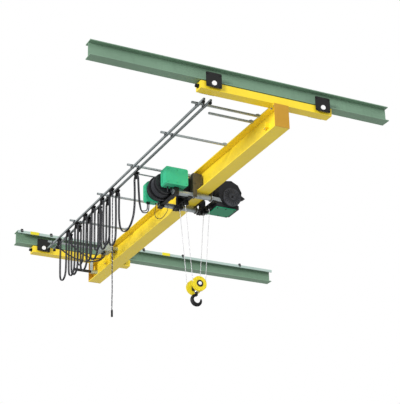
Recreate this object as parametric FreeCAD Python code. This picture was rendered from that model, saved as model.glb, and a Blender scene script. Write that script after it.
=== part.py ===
import FreeCAD, Part
import math
import os
from FreeCAD import Vector

os.makedirs("parts", exist_ok=True)

# ---------------------------------------------------------------- sizes (mm)
# X runs along the runway, Y along the bridge girder, Z is up.
# Z = 0 is the top face of the near runway beam, Y = 0 its centreline,
# X = 0 the girder's centreline.
SPAN = 6400.0                 # between the two runway beams' centrelines
BEAM_H = 220.0                # runway beam section
BEAM_W = 160.0
BEAM_WEB = 8.0
BEAM_FLANGE = 12.0
NEAR_BEAM_X = (-2750.0, 1750.0)
FAR_BEAM_X = (-1490.0, 3480.0)

CARRIAGE_GAP = 12.0           # under the runway beam
CARRIAGE_H = 111.0
CARRIAGE_W = 146.0
CARRIAGE_WALL = 6.0
NEAR_CARRIAGE_X = (-1196.0, 804.0)
FAR_CARRIAGE_X = (-1196.0, 610.0)
NEAR_WHEEL_X = (-1020.0, 645.0)
FAR_WHEEL_X = (-1020.0, 400.0)

GIRDER_H = 340.0
GIRDER_W = 220.0
GIRDER_WEB = 9.0
GIRDER_FLANGE = 14.0
GIRDER_OVERHANG = 90.0        # past each runway beam's centreline
END_PLATE = 10.0
STOP_Z = -535.0                # end stops on the web, level with the trolley

FIT = 0.3                     # between faces that only rest on each other
RUN_FIT = 0.08                # wheel bores on their stub axles, radial
RUN_CLEAR = 12.0              # between moving parts and fixed ones

WHEEL_R = 45.0                # carriage wheels
WHEEL_TREAD = 34.0
WHEEL_LIP = 9.0
WHEEL_LIP_T = 9.0
TRUCK_W = 230.0               # wheel truck plates
TRUCK_H = 216.0
TRUCK_T = 10.0
TRUCK_TOP = -106.0
PIN_D = 24.0
PIN_DROP = 32.0               # pin axis below the carriage's top face
BOSS_D = 68.0

TROLLEY_Y = 2550.0            # hoist trolley's middle as it stands
TROLLEY_WHEEL_R = 52.0
TROLLEY_WHEELBASE = 440.0
CHEEK_L = 640.0
CHEEK_T = 12.0
TUBE_D = 76.0
TUBE_WALL = 8.0
TUBE_SPREAD = 250.0           # cross tubes either side of the middle

DRUM_X = -540.0               # drum unit beside the girder
DRUM_Z = -570.0
DRUM_R = 165.0
DRUM_FLANGE_R = 193.0
DRUM_HALF = 170.0             # half the drum unit's length
MOTOR_X = 445.0               # gear and motor unit on the other side
MOTOR_Z = -610.0
MOTOR_R = 195.0
TRAY_Z = -845.0               # underside of the motor's frame

ROPE_D = 9.0
ROPE_TOP_Z = -825.0
ROPE_OUT = 55.0               # rope falls, outwards from the cheek plates
ROPE_Y = 95.0                 # either side of the middle
BLOCK_Z = -2045.0             # sheave axle of the bottom block
SHEAVE_R = 96.0
GUARD_R = 112.0
ROPE_LOW_X = SHEAVE_R + ROPE_D / 2 + FIT
HOOK_Z = -2262.0              # centre of the hook's bowl

RAIL_OUT_X = -1050.0          # festoon rails
RAIL_IN_X = -950.0
RAIL_W = 28.0
RAIL_H = 28.0
ARM = 26.0
ARM_YS = (320.0, 1290.0, 2450.0, 3600.0, 4750.0, 5750.0)
ARM_END_X = -1140.0
SHORT_ARM_Y = 510.0
SHORT_ARM_X = -790.0
CABLE_D = 16.0
CABLE_PITCH = 17.5            # two cables lie side by side on a saddle
CABLE_SIDE = 1.2              # from a cable to the trolley's cheek
SADDLE_HALF = (CABLE_PITCH + CABLE_D) / 2 + CABLE_SIDE
TROLLEY_CHEEK_T = 6.0
LOOP_DROP = 800.0
OUTER_YS = (3250.0, 3620.0, 3970.0, 4310.0, 4680.0, 5060.0, 5450.0)
INNER_YS = (2550.0, 3250.0, 3620.0, 3950.0, 4400.0, 4800.0)
INNER_CLAMP_Y = 5200.0
PENDANT_LEN = 1910.0
SIDE_STEPS = (0.0, 0.08, 0.22, 0.44, 0.66, 0.85, 1.0)
PENDANT_STEPS = (0.0, 0.024, 0.066, 0.14, 0.23, 0.32, 0.41, 0.50, 0.60, 0.70, 0.80, 0.90, 1.0)

# ------------------------------------------------------------ derived levels
BEAM_FOOT = -BEAM_H
TREAD_Z = BEAM_FOOT + BEAM_FLANGE
CARRIAGE_TOP = BEAM_FOOT - CARRIAGE_GAP
GIRDER_TOP = CARRIAGE_TOP - CARRIAGE_H
GIRDER_FOOT = GIRDER_TOP - GIRDER_H
GIRDER_Y = (-GIRDER_OVERHANG, SPAN + GIRDER_OVERHANG)
TROLLEY_TREAD = GIRDER_FOOT + GIRDER_FLANGE
TUBE_Z = GIRDER_FOOT - RUN_CLEAR - TUBE_D / 2
CHEEK_X = GIRDER_W / 2 + WHEEL_LIP_T + 2 + RUN_CLEAR
TRUCK_Y = BEAM_W / 2 + WHEEL_LIP_T + 2 + RUN_CLEAR
ROPE_TOP_X = CHEEK_X + CHEEK_T + ROPE_OUT
ARM_Z = GIRDER_TOP - ARM / 2
RAIL_TOP = GIRDER_TOP - ARM
RAIL_FOOT = RAIL_TOP - RAIL_H
SADDLE_Z = RAIL_FOOT - 40 - CABLE_D / 2 - FIT - 2
SADDLE_R = 36.0
SADDLE_MID = SADDLE_Z - CABLE_D / 2 - 4.2 - SADDLE_R


# ------------------------------------------------------------------- helpers
def box(x0, x1, y0, y1, z0, z1):
    return Part.makeBox(x1 - x0, y1 - y0, z1 - z0, Vector(x0, y0, z0))


def rod(radius, start, end):
    a = Vector(*start)
    b = Vector(*end)
    return Part.makeCylinder(radius, (b - a).Length, a, b - a)


def ring(radius, bore, start, end):
    return rod(radius, start, end).cut(rod(bore, start, end))


def joined(shapes):
    body = shapes[0]
    for extra in shapes[1:]:
        body = body.fuse(extra)
    return body.removeSplitter()


def save(name, shapes):
    if not isinstance(shapes, (list, tuple)):
        shapes = [shapes]
    solids = []
    for shape in shapes:
        solids.extend(shape.Solids)
    result = solids[0] if len(solids) == 1 else Part.makeCompound(solids)
    result.exportStep("parts/" + name + ".step")


def prism(points, direction):
    corners = [Vector(*p) for p in points]
    corners.append(corners[0])
    return Part.Face(Part.makePolygon(corners)).extrude(Vector(*direction))


def eased(shape, radius, axis):
    """Round the straight edges that run along one axis."""
    edges = []
    for edge in shape.Edges:
        run = edge.Vertexes[-1].Point - edge.Vertexes[0].Point
        if run.Length < 1e-6:
            continue
        if abs(run.normalize().dot(Vector(*axis))) > 0.999:
            edges.append(edge)
    return shape.makeFillet(radius, edges)


def i_section(width, height, web, flange, start, length, along):
    """Rolled I-section; start is the middle of its top face at one end."""
    half = width / 2
    w = web / 2
    outline = [
        (-half, 0), (half, 0), (half, -flange), (w, -flange),
        (w, flange - height), (half, flange - height), (half, -height),
        (-half, -height), (-half, flange - height), (-w, flange - height),
        (-w, -flange), (-half, -flange),
    ]
    if along == "X":
        points = [(start[0], start[1] + u, start[2] + v) for u, v in outline]
        return prism(points, (length, 0, 0))
    points = [(start[0] + u, start[1], start[2] + v) for u, v in outline]
    return prism(points, (0, length, 0))


def cord(points, diameter, name):
    """Tube of straight runs joined by tangent arcs."""
    pts = [Vector(*p) for p in points]
    edges = []
    radii = []
    at = pts[0]
    for i in range(1, len(pts) - 1):
        back = pts[i - 1] - pts[i]
        ahead = pts[i + 1] - pts[i]
        short = min(back.Length, ahead.Length)
        turn = math.pi - back.getAngle(ahead)
        trim = 0.45 * short
        radius = trim / math.tan(turn / 2)
        b = Vector(back).normalize()
        a = Vector(ahead).normalize()
        p0 = pts[i] + b * trim
        p2 = pts[i] + a * trim
        middle = Vector(a + b).normalize()
        reach = radius / math.cos(turn / 2) - radius
        p1 = pts[i] + middle * reach
        edges.append(Part.makeLine(at, p0))
        edges.append(Part.Arc(p0, p1, p2).toShape())
        radii.append(radius)
        at = p2
    edges.append(Part.makeLine(at, pts[-1]))
    wire = Part.Wire(edges)
    start = pts[0]
    normal = pts[1] - pts[0]
    circle = Part.Wire([Part.makeCircle(diameter / 2, start, normal)])
    tube = wire.makePipeShell([circle], True, False)
    print(name, "tightest radius %.0f mm" % min(radii),
          "length %.0f mm" % wire.Length)
    return Part.makeSolid(tube) if not tube.Solids else tube


# ------------------------------------------------------------- runway beams
def runway():
    near = i_section(BEAM_W, BEAM_H, BEAM_WEB, BEAM_FLANGE,
                     (NEAR_BEAM_X[0], 0, 0), NEAR_BEAM_X[1] - NEAR_BEAM_X[0], "X")
    far = i_section(BEAM_W, BEAM_H, BEAM_WEB, BEAM_FLANGE,
                    (FAR_BEAM_X[0], SPAN, 0), FAR_BEAM_X[1] - FAR_BEAM_X[0], "X")
    save("near_runway_beam", near)
    save("far_runway_beam", far)


# Conductor line clipped under the far beam's top flange, on its near side.
LINE_W = 18.0
LINE_H = 46.0
LINE_Y = SPAN - BEAM_W / 2 - LINE_W - 14.0
LINE_Z = -4.0
HANGER_XS = (-1420.0, -890.0, 860.0, 1640.0, 2800.0)
COVER_XS = (-1190.0, 190.0, 1300.0)


def conductor_line():
    line = box(FAR_BEAM_X[0], FAR_BEAM_X[1], LINE_Y, LINE_Y + LINE_W,
               LINE_Z - LINE_H, LINE_Z)
    slot = box(FAR_BEAM_X[0] - 1, FAR_BEAM_X[1] + 1, LINE_Y + 4,
               LINE_Y + LINE_W - 4, LINE_Z - LINE_H - 1, LINE_Z - 8)
    save("conductor_rail", line.cut(slot))
    hangers = []
    covers = []
    for x in HANGER_XS:
        web = box(x - 20, x + 20, LINE_Y - 6, LINE_Y - FIT, LINE_Z - 30, 22)
        top = box(x - 20, x + 20, LINE_Y - 6, SPAN - BEAM_W / 2 + 30, 6, 14)
        foot = box(x - 20, x + 20, SPAN - BEAM_W / 2 + 6, SPAN - BEAM_W / 2 + 30, 0, 6)
        hangers.append(joined([web, top, foot]))
    for x in COVER_XS:
        outer = box(x - 75, x + 75, LINE_Y - 5, LINE_Y + LINE_W + 5,
                    LINE_Z - LINE_H, LINE_Z + 6)
        inner = box(x - 76, x + 76, LINE_Y - FIT, LINE_Y + LINE_W + FIT,
                    LINE_Z - LINE_H - 1, LINE_Z + FIT)
        covers.append(outer.cut(inner))
    save("conductor_rail_hangers", hangers)
    save("conductor_joint_covers", covers)


# ------------------------------------------------------------- bridge girder
def girder():
    length = GIRDER_Y[1] - GIRDER_Y[0] - 2 * END_PLATE
    beam = i_section(GIRDER_W, GIRDER_H, GIRDER_WEB, GIRDER_FLANGE,
                     (0, GIRDER_Y[0] + END_PLATE, GIRDER_TOP), length, "Y")
    save("main_girder", beam)
    plates = []
    for y in (GIRDER_Y[0], GIRDER_Y[1] - END_PLATE):
        plates.append(box(-GIRDER_W / 2, GIRDER_W / 2, y, y + END_PLATE,
                          GIRDER_FOOT, GIRDER_TOP))
    save("girder_end_plates", plates)
    stops = []
    for y in (250.0, SPAN - 550.0):
        for side in (-1, 1):
            x0 = min(side * GIRDER_WEB / 2, side * (GIRDER_WEB / 2 + 56))
            foot = box(x0, x0 + 56, y, y + 90, STOP_Z, STOP_Z + 12)
            face = box(x0, x0 + 56, y, y + 12, STOP_Z, STOP_Z + 70)
            rib = prism([(x0 + 24, y + 12, STOP_Z + 12), (x0 + 24, y + 86, STOP_Z + 12),
                         (x0 + 24, y + 12, STOP_Z + 66)], (8, 0, 0))
            stops.append(joined([foot, face, rib]))
    save("girder_end_stops", stops)


def carriage_sizes(which):
    """Centreline, end faces and wheel places of one end carriage."""
    if which == "near":
        return 0.0, NEAR_CARRIAGE_X, NEAR_WHEEL_X
    return SPAN, FAR_CARRIAGE_X, FAR_WHEEL_X


def carriages():
    trucks = []
    pins = []
    buffers = []
    pin_z = CARRIAGE_TOP - PIN_DROP
    for which in ("near", "far"):
        yc, ends, wheels = carriage_sizes(which)
        half = CARRIAGE_W / 2
        body = box(ends[0], ends[1], yc - half, yc + half, GIRDER_TOP, CARRIAGE_TOP)
        hollow = box(ends[0] + 10, ends[1] - 10,
                     yc - half + CARRIAGE_WALL, yc + half - CARRIAGE_WALL,
                     GIRDER_TOP + CARRIAGE_WALL, CARRIAGE_TOP - CARRIAGE_WALL)
        body = body.cut(hollow)
        for x in wheels:
            body = body.cut(rod(PIN_D / 2 + FIT, (x, yc - half - 1, pin_z),
                                (x, yc + half + 1, pin_z)))
            pin = rod(PIN_D / 2, (x, yc - TRUCK_Y - TRUCK_T - 8, pin_z),
                      (x, yc + TRUCK_Y + TRUCK_T + 8, pin_z))
            caps = []
            for side in (-1, 1):
                face = yc + side * (TRUCK_Y + TRUCK_T + FIT)
                caps.append(rod(BOSS_D / 2, (x, face, pin_z),
                                (x, face + side * 12, pin_z)))
                inner = yc + side * TRUCK_Y
                y0 = min(inner, inner + side * TRUCK_T)
                plate = box(x - TRUCK_W / 2, x + TRUCK_W / 2, y0, y0 + TRUCK_T,
                            TRUCK_TOP - TRUCK_H, TRUCK_TOP)
                plate = eased(plate, 14, (0, 1, 0))
                plate = plate.cut(rod(PIN_D / 2 + FIT, (x, y0 - 1, pin_z),
                                      (x, y0 + TRUCK_T + 1, pin_z)))
                stub = rod(14, (x, inner, TREAD_Z + WHEEL_R + FIT),
                           (x, yc + side * (BEAM_WEB / 2 + 22), TREAD_Z + WHEEL_R + FIT))
                trucks.append(joined([plate, stub]))
            pins.append(joined([pin] + caps))
        save(which + "_end_carriage", body)
        mid = (CARRIAGE_TOP + GIRDER_TOP) / 2
        base = rod(30, (ends[0], yc, mid), (ends[0] - 8, yc, mid))
        nose = rod(24, (ends[0] - 8, yc, mid), (ends[0] - 44, yc, mid))
        buffers.append(joined([base, nose]))
    save("wheel_trucks", trucks)
    save("truck_pins", pins)
    save("carriage_buffers", buffers)


def carriage_wheel(x, yc, side):
    z = TREAD_Z + WHEEL_R + FIT
    lip0 = yc + side * (BEAM_W / 2 + 2)
    inner = yc + side * (BEAM_W / 2 + 2 - WHEEL_TREAD)
    tread = rod(WHEEL_R, (x, inner, z), (x, lip0, z))
    lip = rod(WHEEL_R + WHEEL_LIP, (x, lip0, z), (x, lip0 + side * WHEEL_LIP_T, z))
    bore = rod(14 + RUN_FIT, (x, inner - side, z), (x, lip0 + side * (WHEEL_LIP_T + 1), z))
    return joined([tread, lip]).cut(bore)


def carriage_wheels():
    for which in ("near", "far"):
        yc, ends, wheels = carriage_sizes(which)
        for tag, x in zip(("left", "right"), wheels):
            pair = [carriage_wheel(x, yc, side) for side in (-1, 1)]
            save(which + "_" + tag + "_wheels", pair)


# ------------------------------------------------------------------- festoon
def c_rail(x, y0, y1):
    outer = box(x - RAIL_W / 2, x + RAIL_W / 2, y0, y1, RAIL_FOOT, RAIL_TOP)
    hollow = box(x - RAIL_W / 2 + 2, x + RAIL_W / 2 - 2, y0 - 1, y1 + 1,
                 RAIL_FOOT + 2, RAIL_TOP - 2)
    mouth = box(x - 6, x + 6, y0 - 1, y1 + 1, RAIL_FOOT - 1, RAIL_FOOT + 3)
    return outer.cut(hollow).cut(mouth)


def festoon_frame():
    save("festoon_rail_outer", c_rail(RAIL_OUT_X, 120.0, 5980.0))
    save("festoon_rail_inner", c_rail(RAIL_IN_X, 120.0, 5980.0))
    arms = []
    clamps = []
    edge = -GIRDER_W / 2
    for y in ARM_YS + (SHORT_ARM_Y,):
        end = SHORT_ARM_X if y == SHORT_ARM_Y else ARM_END_X
        bar = box(end, edge - FIT, y - ARM / 2, y + ARM / 2, ARM_Z - ARM / 2, GIRDER_TOP)
        bore = box(end - 1, edge + 1, y - ARM / 2 + 3, y + ARM / 2 - 3,
                   ARM_Z - ARM / 2 + 3, GIRDER_TOP - 3)
        clip = box(edge - 60, edge + 46, y - 25, y + 25, GIRDER_TOP, GIRDER_TOP + 6)
        lug = box(edge - 60, edge - FIT, y - 25, y - ARM / 2, ARM_Z - ARM / 2, GIRDER_TOP)
        arms.append(joined([bar.cut(bore), clip, lug]))
        if y == SHORT_ARM_Y:
            continue
        for x in (RAIL_OUT_X, RAIL_IN_X):
            cap = box(x - 24, x + 24, y - 28, y + 28, RAIL_TOP - 22, RAIL_TOP)
            cap = cap.cut(box(x - RAIL_W / 2 - FIT, x + RAIL_W / 2 + FIT, y - 29, y + 29,
                              RAIL_TOP - 23, RAIL_TOP + 1))
            for side in (-1, 1):
                x0 = min(x + side * 15.6, x + side * 24)
                x1 = max(x + side * 15.6, x + side * 24)
                for v in (-1, 1):
                    y0 = min(y + v * (ARM / 2 + FIT), y + v * 28)
                    y1 = max(y + v * (ARM / 2 + FIT), y + v * 28)
                    clamps.append(box(x0, x1, y0, y1, RAIL_TOP - 22, RAIL_TOP + 18))
    save("festoon_arms", arms)
    save("festoon_rail_clamps", clamps)


def cable_trolley(x, y, half=45.0):
    """Rail trolley: rollers in the rail, a body and a saddle for the cable."""
    parts = [box(x - 4, x + 4, y - 26, y + 26, RAIL_FOOT - 16, RAIL_FOOT + 12)]
    for v in (-16, 16):
        z = RAIL_FOOT + 2 + FIT + 9
        parts.append(rod(9, (x - 11, y + v, z), (x + 11, y + v, z)))
    edge = SADDLE_HALF + TROLLEY_CHEEK_T
    parts.append(box(x - edge, x + edge, y - half, y + half, RAIL_FOOT - 40, RAIL_FOOT - 14))
    for side in (-1, 1):
        x0 = min(x + side * SADDLE_HALF, x + side * edge)
        parts.append(box(x0, x0 + TROLLEY_CHEEK_T, y - 24, y + 24, SADDLE_Z - 52, RAIL_FOOT - 30))
    saddle = rod(SADDLE_R, (x - edge + 1, y, SADDLE_MID), (x + edge - 1, y, SADDLE_MID))
    parts.append(saddle.cut(box(x - edge, x + edge, y - 50, y + 50, SADDLE_MID - 60, SADDLE_MID - 4)))
    return joined(parts)


def festoon_trolleys():
    outer = []
    for i, y in enumerate(OUTER_YS):
        outer.append(cable_trolley(RAIL_OUT_X, y, 60.0 if i == 0 else 45.0))
    save("pendant_line_trolleys", outer)
    for i, y in enumerate(INNER_YS):
        save("cable_trolley_%d" % (i + 1), cable_trolley(RAIL_IN_X, y))
    save("hoist_line_end_clamp", cable_trolley(RAIL_IN_X, INNER_CLAMP_Y))


def loop_points(y0, y1, top, drop):
    """Hanging loop between two saddles: two long sides and a round foot."""
    half = (y1 - y0) / 2
    middle = (y0 + y1) / 2
    side = drop - half
    down = [(half + 9 * math.sin(math.pi * f), top - side * f) for f in SIDE_STEPS]
    foot = []
    for k in range(1, 6):
        a = math.radians(30 * k)
        foot.append((half * math.cos(a), top - side - half * math.sin(a)))
    points = [(middle - u, v) for u, v in down]
    points.extend([(middle - u, v) for u, v in foot])
    points.extend([(middle + u, v) for u, v in reversed(down)])
    return points


def hump(x, y):
    """The cable's way over a trolley's saddle, without the two end points."""
    return [(x, y - 46, SADDLE_Z - 17), (x, y, SADDLE_Z), (x, y + 46, SADDLE_Z - 17)]


def sag(start, end, drop, count):
    """Slack run between two points, leaving out the first one."""
    points = []
    for k in range(1, count + 1):
        t = k / count
        dip = drop * 4 * t * (1 - t)
        points.append((start[0] + (end[0] - start[0]) * t,
                       start[1] + (end[1] - start[1]) * t,
                       start[2] + (end[2] - start[2]) * t - dip))
    return points


def into_cabinet(start, x, y, drop, count):
    """Slack run from a clamp to the cabinet's underside, going straight up into it."""
    low = (x, y, CABINET[4] - 130)
    points = sag(start, low, drop, count)
    points.append((x + 26, y, CABINET[4] - 64))
    points.append((x + 28, y, CABINET[4] - FIT - 0.5))
    return points


def pendant_line():
    x = RAIL_OUT_X - CABLE_PITCH / 2
    low = SADDLE_Z - 63
    points = []
    for k, f in enumerate(reversed(PENDANT_STEPS)):
        sway = 7.0 * math.sin(2.2 * k) if 0 < f < 1 else 0.0
        points.append((x, OUTER_YS[0] - 66 + sway, low - PENDANT_LEN * f))
    points.extend(hump(x, OUTER_YS[0]))
    for i in range(len(OUTER_YS) - 1):
        drop = LOOP_DROP * (1.0 - 0.06 * (i % 2)) - 60
        loop = loop_points(OUTER_YS[i] + 66, OUTER_YS[i + 1] - 66, low, drop)
        points.extend([(x, u, v) for u, v in loop])
        points.extend(hump(x, OUTER_YS[i + 1]))
    last = (x + 8, OUTER_YS[-1] + 70, low - 12)
    points.append(last)
    points.extend(into_cabinet(last, CABINET[0] + 40, CABINET[3] - 70, 120, 7))
    save("pendant_line_cable", cord(points, CABLE_D, "pendant_line_cable"))
    foot = Vector(*points[0])
    lead = (foot - Vector(*points[1])).normalize()
    start = foot - lead * 60
    sleeve = rod(15, tuple(start), tuple(foot + lead * 40))
    bore = rod(CABLE_D / 2 + FIT, tuple(start - lead), tuple(foot + lead * FIT))
    save("pendant_cable_end", sleeve.cut(bore))


def hoist_line_tail():
    x = RAIL_IN_X - CABLE_PITCH / 2
    points = [(x, INNER_CLAMP_Y - 66, SADDLE_Z - 63)]
    points.extend(hump(x, INNER_CLAMP_Y))
    last = (x + 8, INNER_CLAMP_Y + 70, SADDLE_Z - 75)
    points.append(last)
    points.extend(into_cabinet(last, CABINET[0] + 40, CABINET[2] + 70, 100, 6))
    save("hoist_line_tail", cord(points, CABLE_D, "hoist_line_tail"))


# ---------------------------------------------------------- bridge's cabinets
CABINET = (-315.0, -115.0, 5400.0, 5620.0, -500.0, -365.0)


def cabinets():
    x0, x1, y0, y1, z0, z1 = CABINET
    case = eased(box(x0, x1, y0, y1, z0, z1), 8, (0, 1, 0))
    case = case.cut(box(x0 + 3, x1 - 3, y0 + 3, y1 - 3, z0 + 3, z1 - 3))
    rails = []
    for y in (y0 + 30, y1 - 50):
        rails.append(box(x1 + FIT, -GIRDER_WEB / 2, y, y + 20, z0 + 40, z1 - 40))
    save("control_cabinet", case)
    save("cabinet_rails", rails)
    y = SPAN - 50.0
    z = GIRDER_TOP - 200
    edge = -GIRDER_W / 2
    save("far_end_arm", box(edge - 340, edge - 10 - FIT, y - 15, y + 15, z - 20, z + 20))
    plate = box(edge - 10, edge - FIT, y - 65, y + 50, z + 10, GIRDER_TOP - FIT)
    low = box(edge - 10, -GIRDER_WEB / 2, y - 20, y + 20, z - 30, z + 30)
    save("far_arm_plate", joined([plate, low]))


# -------------------------------------------------------------- hoist trolley
CHEEK_TOP = -400.0            # of the cheeks' tall front part
CHEEK_TALL = 230.0
EAR_R = 52.0
TUBE_X = (-480.0, 560.0)
FAR_TUBE_X = (-480.0, 340.0)


def trolley_frame():
    half = CHEEK_L / 2
    low = TUBE_Z + TUBE_D / 2 + 5
    front = TROLLEY_Y - half
    rear = TROLLEY_Y + half
    cheeks = []
    for side in (-1, 1):
        x0 = min(side * CHEEK_X, side * (CHEEK_X + CHEEK_T))
        x1 = x0 + CHEEK_T
        pieces = [box(x0, x1, front, rear, low, TROLLEY_TREAD + 150)]
        pieces.append(box(x0, x1, front, front + CHEEK_TALL, low, CHEEK_TOP))
        for v in (-1, 1):
            y = TROLLEY_Y + v * TUBE_SPREAD
            pieces.append(box(x0, x1, y - EAR_R, y + EAR_R, TUBE_Z, low))
            pieces.append(rod(EAR_R, (x0, y, TUBE_Z), (x1, y, TUBE_Z)))
        plate = joined(pieces)
        for v in (-1, 1):
            y = TROLLEY_Y + v * TUBE_SPREAD
            plate = plate.cut(rod(TUBE_D / 2 + FIT, (x0 - 1, y, TUBE_Z), (x1 + 1, y, TUBE_Z)))
        stubs = []
        for v in (-1, 1):
            y = TROLLEY_Y + v * TROLLEY_WHEELBASE / 2
            z = TROLLEY_TREAD + TROLLEY_WHEEL_R + FIT
            stubs.append(rod(15, (side * CHEEK_X, y, z), (side * (GIRDER_WEB / 2 + 26), y, z)))
        cheeks.append(joined([plate] + stubs))
    save("trolley_cheeks", cheeks)
    tubes = []
    for v, ends in ((-1, TUBE_X), (1, FAR_TUBE_X)):
        y = TROLLEY_Y + v * TUBE_SPREAD
        tubes.append(ring(TUBE_D / 2, TUBE_D / 2 - TUBE_WALL,
                          (ends[0], y, TUBE_Z), (ends[1], y, TUBE_Z)))
    save("cross_tubes", tubes)
    outer = -CHEEK_X - CHEEK_T - 38
    top = CHEEK_TOP - 10
    panel = box(outer, -GIRDER_W / 2 - RUN_CLEAR, front - 14, front - FIT, TUBE_Z - 57, top)
    reach = box(outer, -GIRDER_WEB / 2 - 28, front - 14, front - FIT, TROLLEY_TREAD + 16, top)
    fold = box(outer, outer + 14, front - 14, front + 60, TUBE_Z + TUBE_D / 2 + 5, top)
    save("trolley_end_frame", joined([panel, reach, fold]))


def trolley_wheel(y, side):
    z = TROLLEY_TREAD + TROLLEY_WHEEL_R + FIT
    lip = side * (GIRDER_W / 2 + 2)
    inner = side * (GIRDER_W / 2 + 2 - 38)
    tread = rod(TROLLEY_WHEEL_R, (inner, y, z), (lip, y, z))
    rim = rod(TROLLEY_WHEEL_R + 9, (lip, y, z), (lip + side * WHEEL_LIP_T, y, z))
    bore = rod(15 + RUN_FIT, (inner - side, y, z), (lip + side * (WHEEL_LIP_T + 1), y, z))
    return joined([tread, rim]).cut(bore)


def trolley_wheels():
    for tag, v in (("front", -1), ("rear", 1)):
        y = TROLLEY_Y + v * TROLLEY_WHEELBASE / 2
        save("trolley_" + tag + "_wheels", [trolley_wheel(y, s) for s in (-1, 1)])


SHELL = 16.0
BOX_X = (-650.0, -285.0)
BOX_Y = (TROLLEY_Y - 375.0, TROLLEY_Y - 205.0)
BOX_Z = (TUBE_Z + TUBE_D / 2 + 25, -398.0)
COVER_X = (-710.0, -485.0)
COVER_Z = (-745.0, -420.0)


SEAT_X = (-470.0, -400.0)     # blocks that seat the drum unit on the tubes


def drum_unit():
    near = TROLLEY_Y - DRUM_HALF
    far = TROLLEY_Y + DRUM_HALF
    x = DRUM_X
    z = DRUM_Z
    drum = rod(DRUM_R, (x, near, z), (x, far, z))
    nose = rod(DRUM_R - 40, (x, near - 18, z), (x, near, z))
    flange = rod(DRUM_FLANGE_R, (x, far - 140, z), (x, far - 110, z))
    lip = rod(DRUM_R + 12, (x, near + 60, z), (x, near + 76, z))
    drum = joined([drum, nose, flange, lip])
    drum = drum.cut(rod(DRUM_R - SHELL, (x, near + SHELL, z), (x, far - SHELL, z)))
    save("drum_housing", drum)
    cover = box(COVER_X[0], COVER_X[1], far + FIT, far + 120, COVER_Z[0], COVER_Z[1])
    cover = eased(cover, 60, (0, 1, 0))
    cover = cover.cut(eased(box(COVER_X[0] + 8, COVER_X[1] - 8, far + 8, far + 112,
                                COVER_Z[0] + 8, COVER_Z[1] - 8), 52, (0, 1, 0)))
    save("drum_end_cover", cover)
    case = box(BOX_X[0], BOX_X[1], BOX_Y[0], BOX_Y[1], BOX_Z[0], BOX_Z[1])
    case = eased(case, 32, (0, 1, 0))
    case = case.cut(box(BOX_X[0] + 8, BOX_X[1] - 8, BOX_Y[0] + 6, BOX_Y[1] - 6,
                        BOX_Z[0] + 10, BOX_Z[1] - 10))
    save("control_box", case)
    # saddle blocks carry the drum unit on the cross tubes
    blocks = []
    for v, top in ((-1, BOX_Z[0] - FIT), (1, TUBE_Z + 52)):
        y = TROLLEY_Y + v * TUBE_SPREAD
        block = box(SEAT_X[0], SEAT_X[1], y - 50, y + 50, TUBE_Z - 52, top)
        block = block.cut(rod(TUBE_D / 2 + FIT, (SEAT_X[0] - 11, y, TUBE_Z), (SEAT_X[1] + 1, y, TUBE_Z)))
        blocks.append(block)
    base = box(SEAT_X[0], SEAT_X[1], TROLLEY_Y - TUBE_SPREAD + 50, TROLLEY_Y + TUBE_SPREAD - 50,
               TUBE_Z - 30, TUBE_Z + 24)
    side = box(SEAT_X[1] + 20, -CHEEK_X - CHEEK_T - FIT, near + 20, near + 190,
               TUBE_Z + 55, CHEEK_TOP - 30)
    tie = box(SEAT_X[1] - 20, SEAT_X[1] + 25, near + 60, near + 150, TUBE_Z - 20, TUBE_Z + 100)
    frame = joined([base] + blocks + [side, tie])
    frame = frame.cut(rod(DRUM_FLANGE_R + FIT, (x, near - 30, z), (x, far + 1, z)))
    save("drum_frame", frame)


def motor_unit():
    x = MOTOR_X
    z = MOTOR_Z
    front = TROLLEY_Y - 300.0
    rear = TROLLEY_Y - 50.0
    corners = []
    for k in range(10):
        a = math.radians(36 * k + 10)
        r = MOTOR_R / math.cos(math.radians(18)) - 2
        corners.append((x + r * math.cos(a), front, z + r * math.sin(a)))
    gear = prism(corners, (0, 120, 0))
    peak = prism([(x + 150, front + 10, z + 20), (x + 262, front + 10, z - 50),
                  (x + 150, front + 10, z - 110)], (0, 70, 0))
    body = rod(MOTOR_R - 6, (x, front + 100, z), (x, rear, z))
    crate = box(x - 208, x + 160, front + 30, rear + 100, TRAY_Z, TRAY_Z + 60)
    web = box(x - 150, x + 150, front + 40, rear, TRAY_Z + 50, z)
    gear = joined([gear, peak, body, crate, web])
    gear = gear.cut(rod(MOTOR_R - SHELL - 12, (x, front + SHELL, z), (x, rear - SHELL, z)))
    y = TROLLEY_Y - TUBE_SPREAD
    gear = gear.cut(rod(TUBE_D / 2 + FIT, (0, y, TUBE_Z), (TUBE_X[1] + 4, y, TUBE_Z)))
    save("gear_housing", gear)
    disc = rod(145, (x + 20, front - 30, z - 75), (x + 20, front - FIT, z - 75))
    hub = rod(52, (x + 20, front - 44, z - 75), (x + 20, front - 30, z - 75))
    save("brake_cover", joined([disc, hub]))
    tray = box(x - 208, x + 118, front + 36, rear + 94, TRAY_Z - 15, TRAY_Z - FIT)
    save("motor_cover", eased(tray, 14, (0, 0, 1)))


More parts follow.
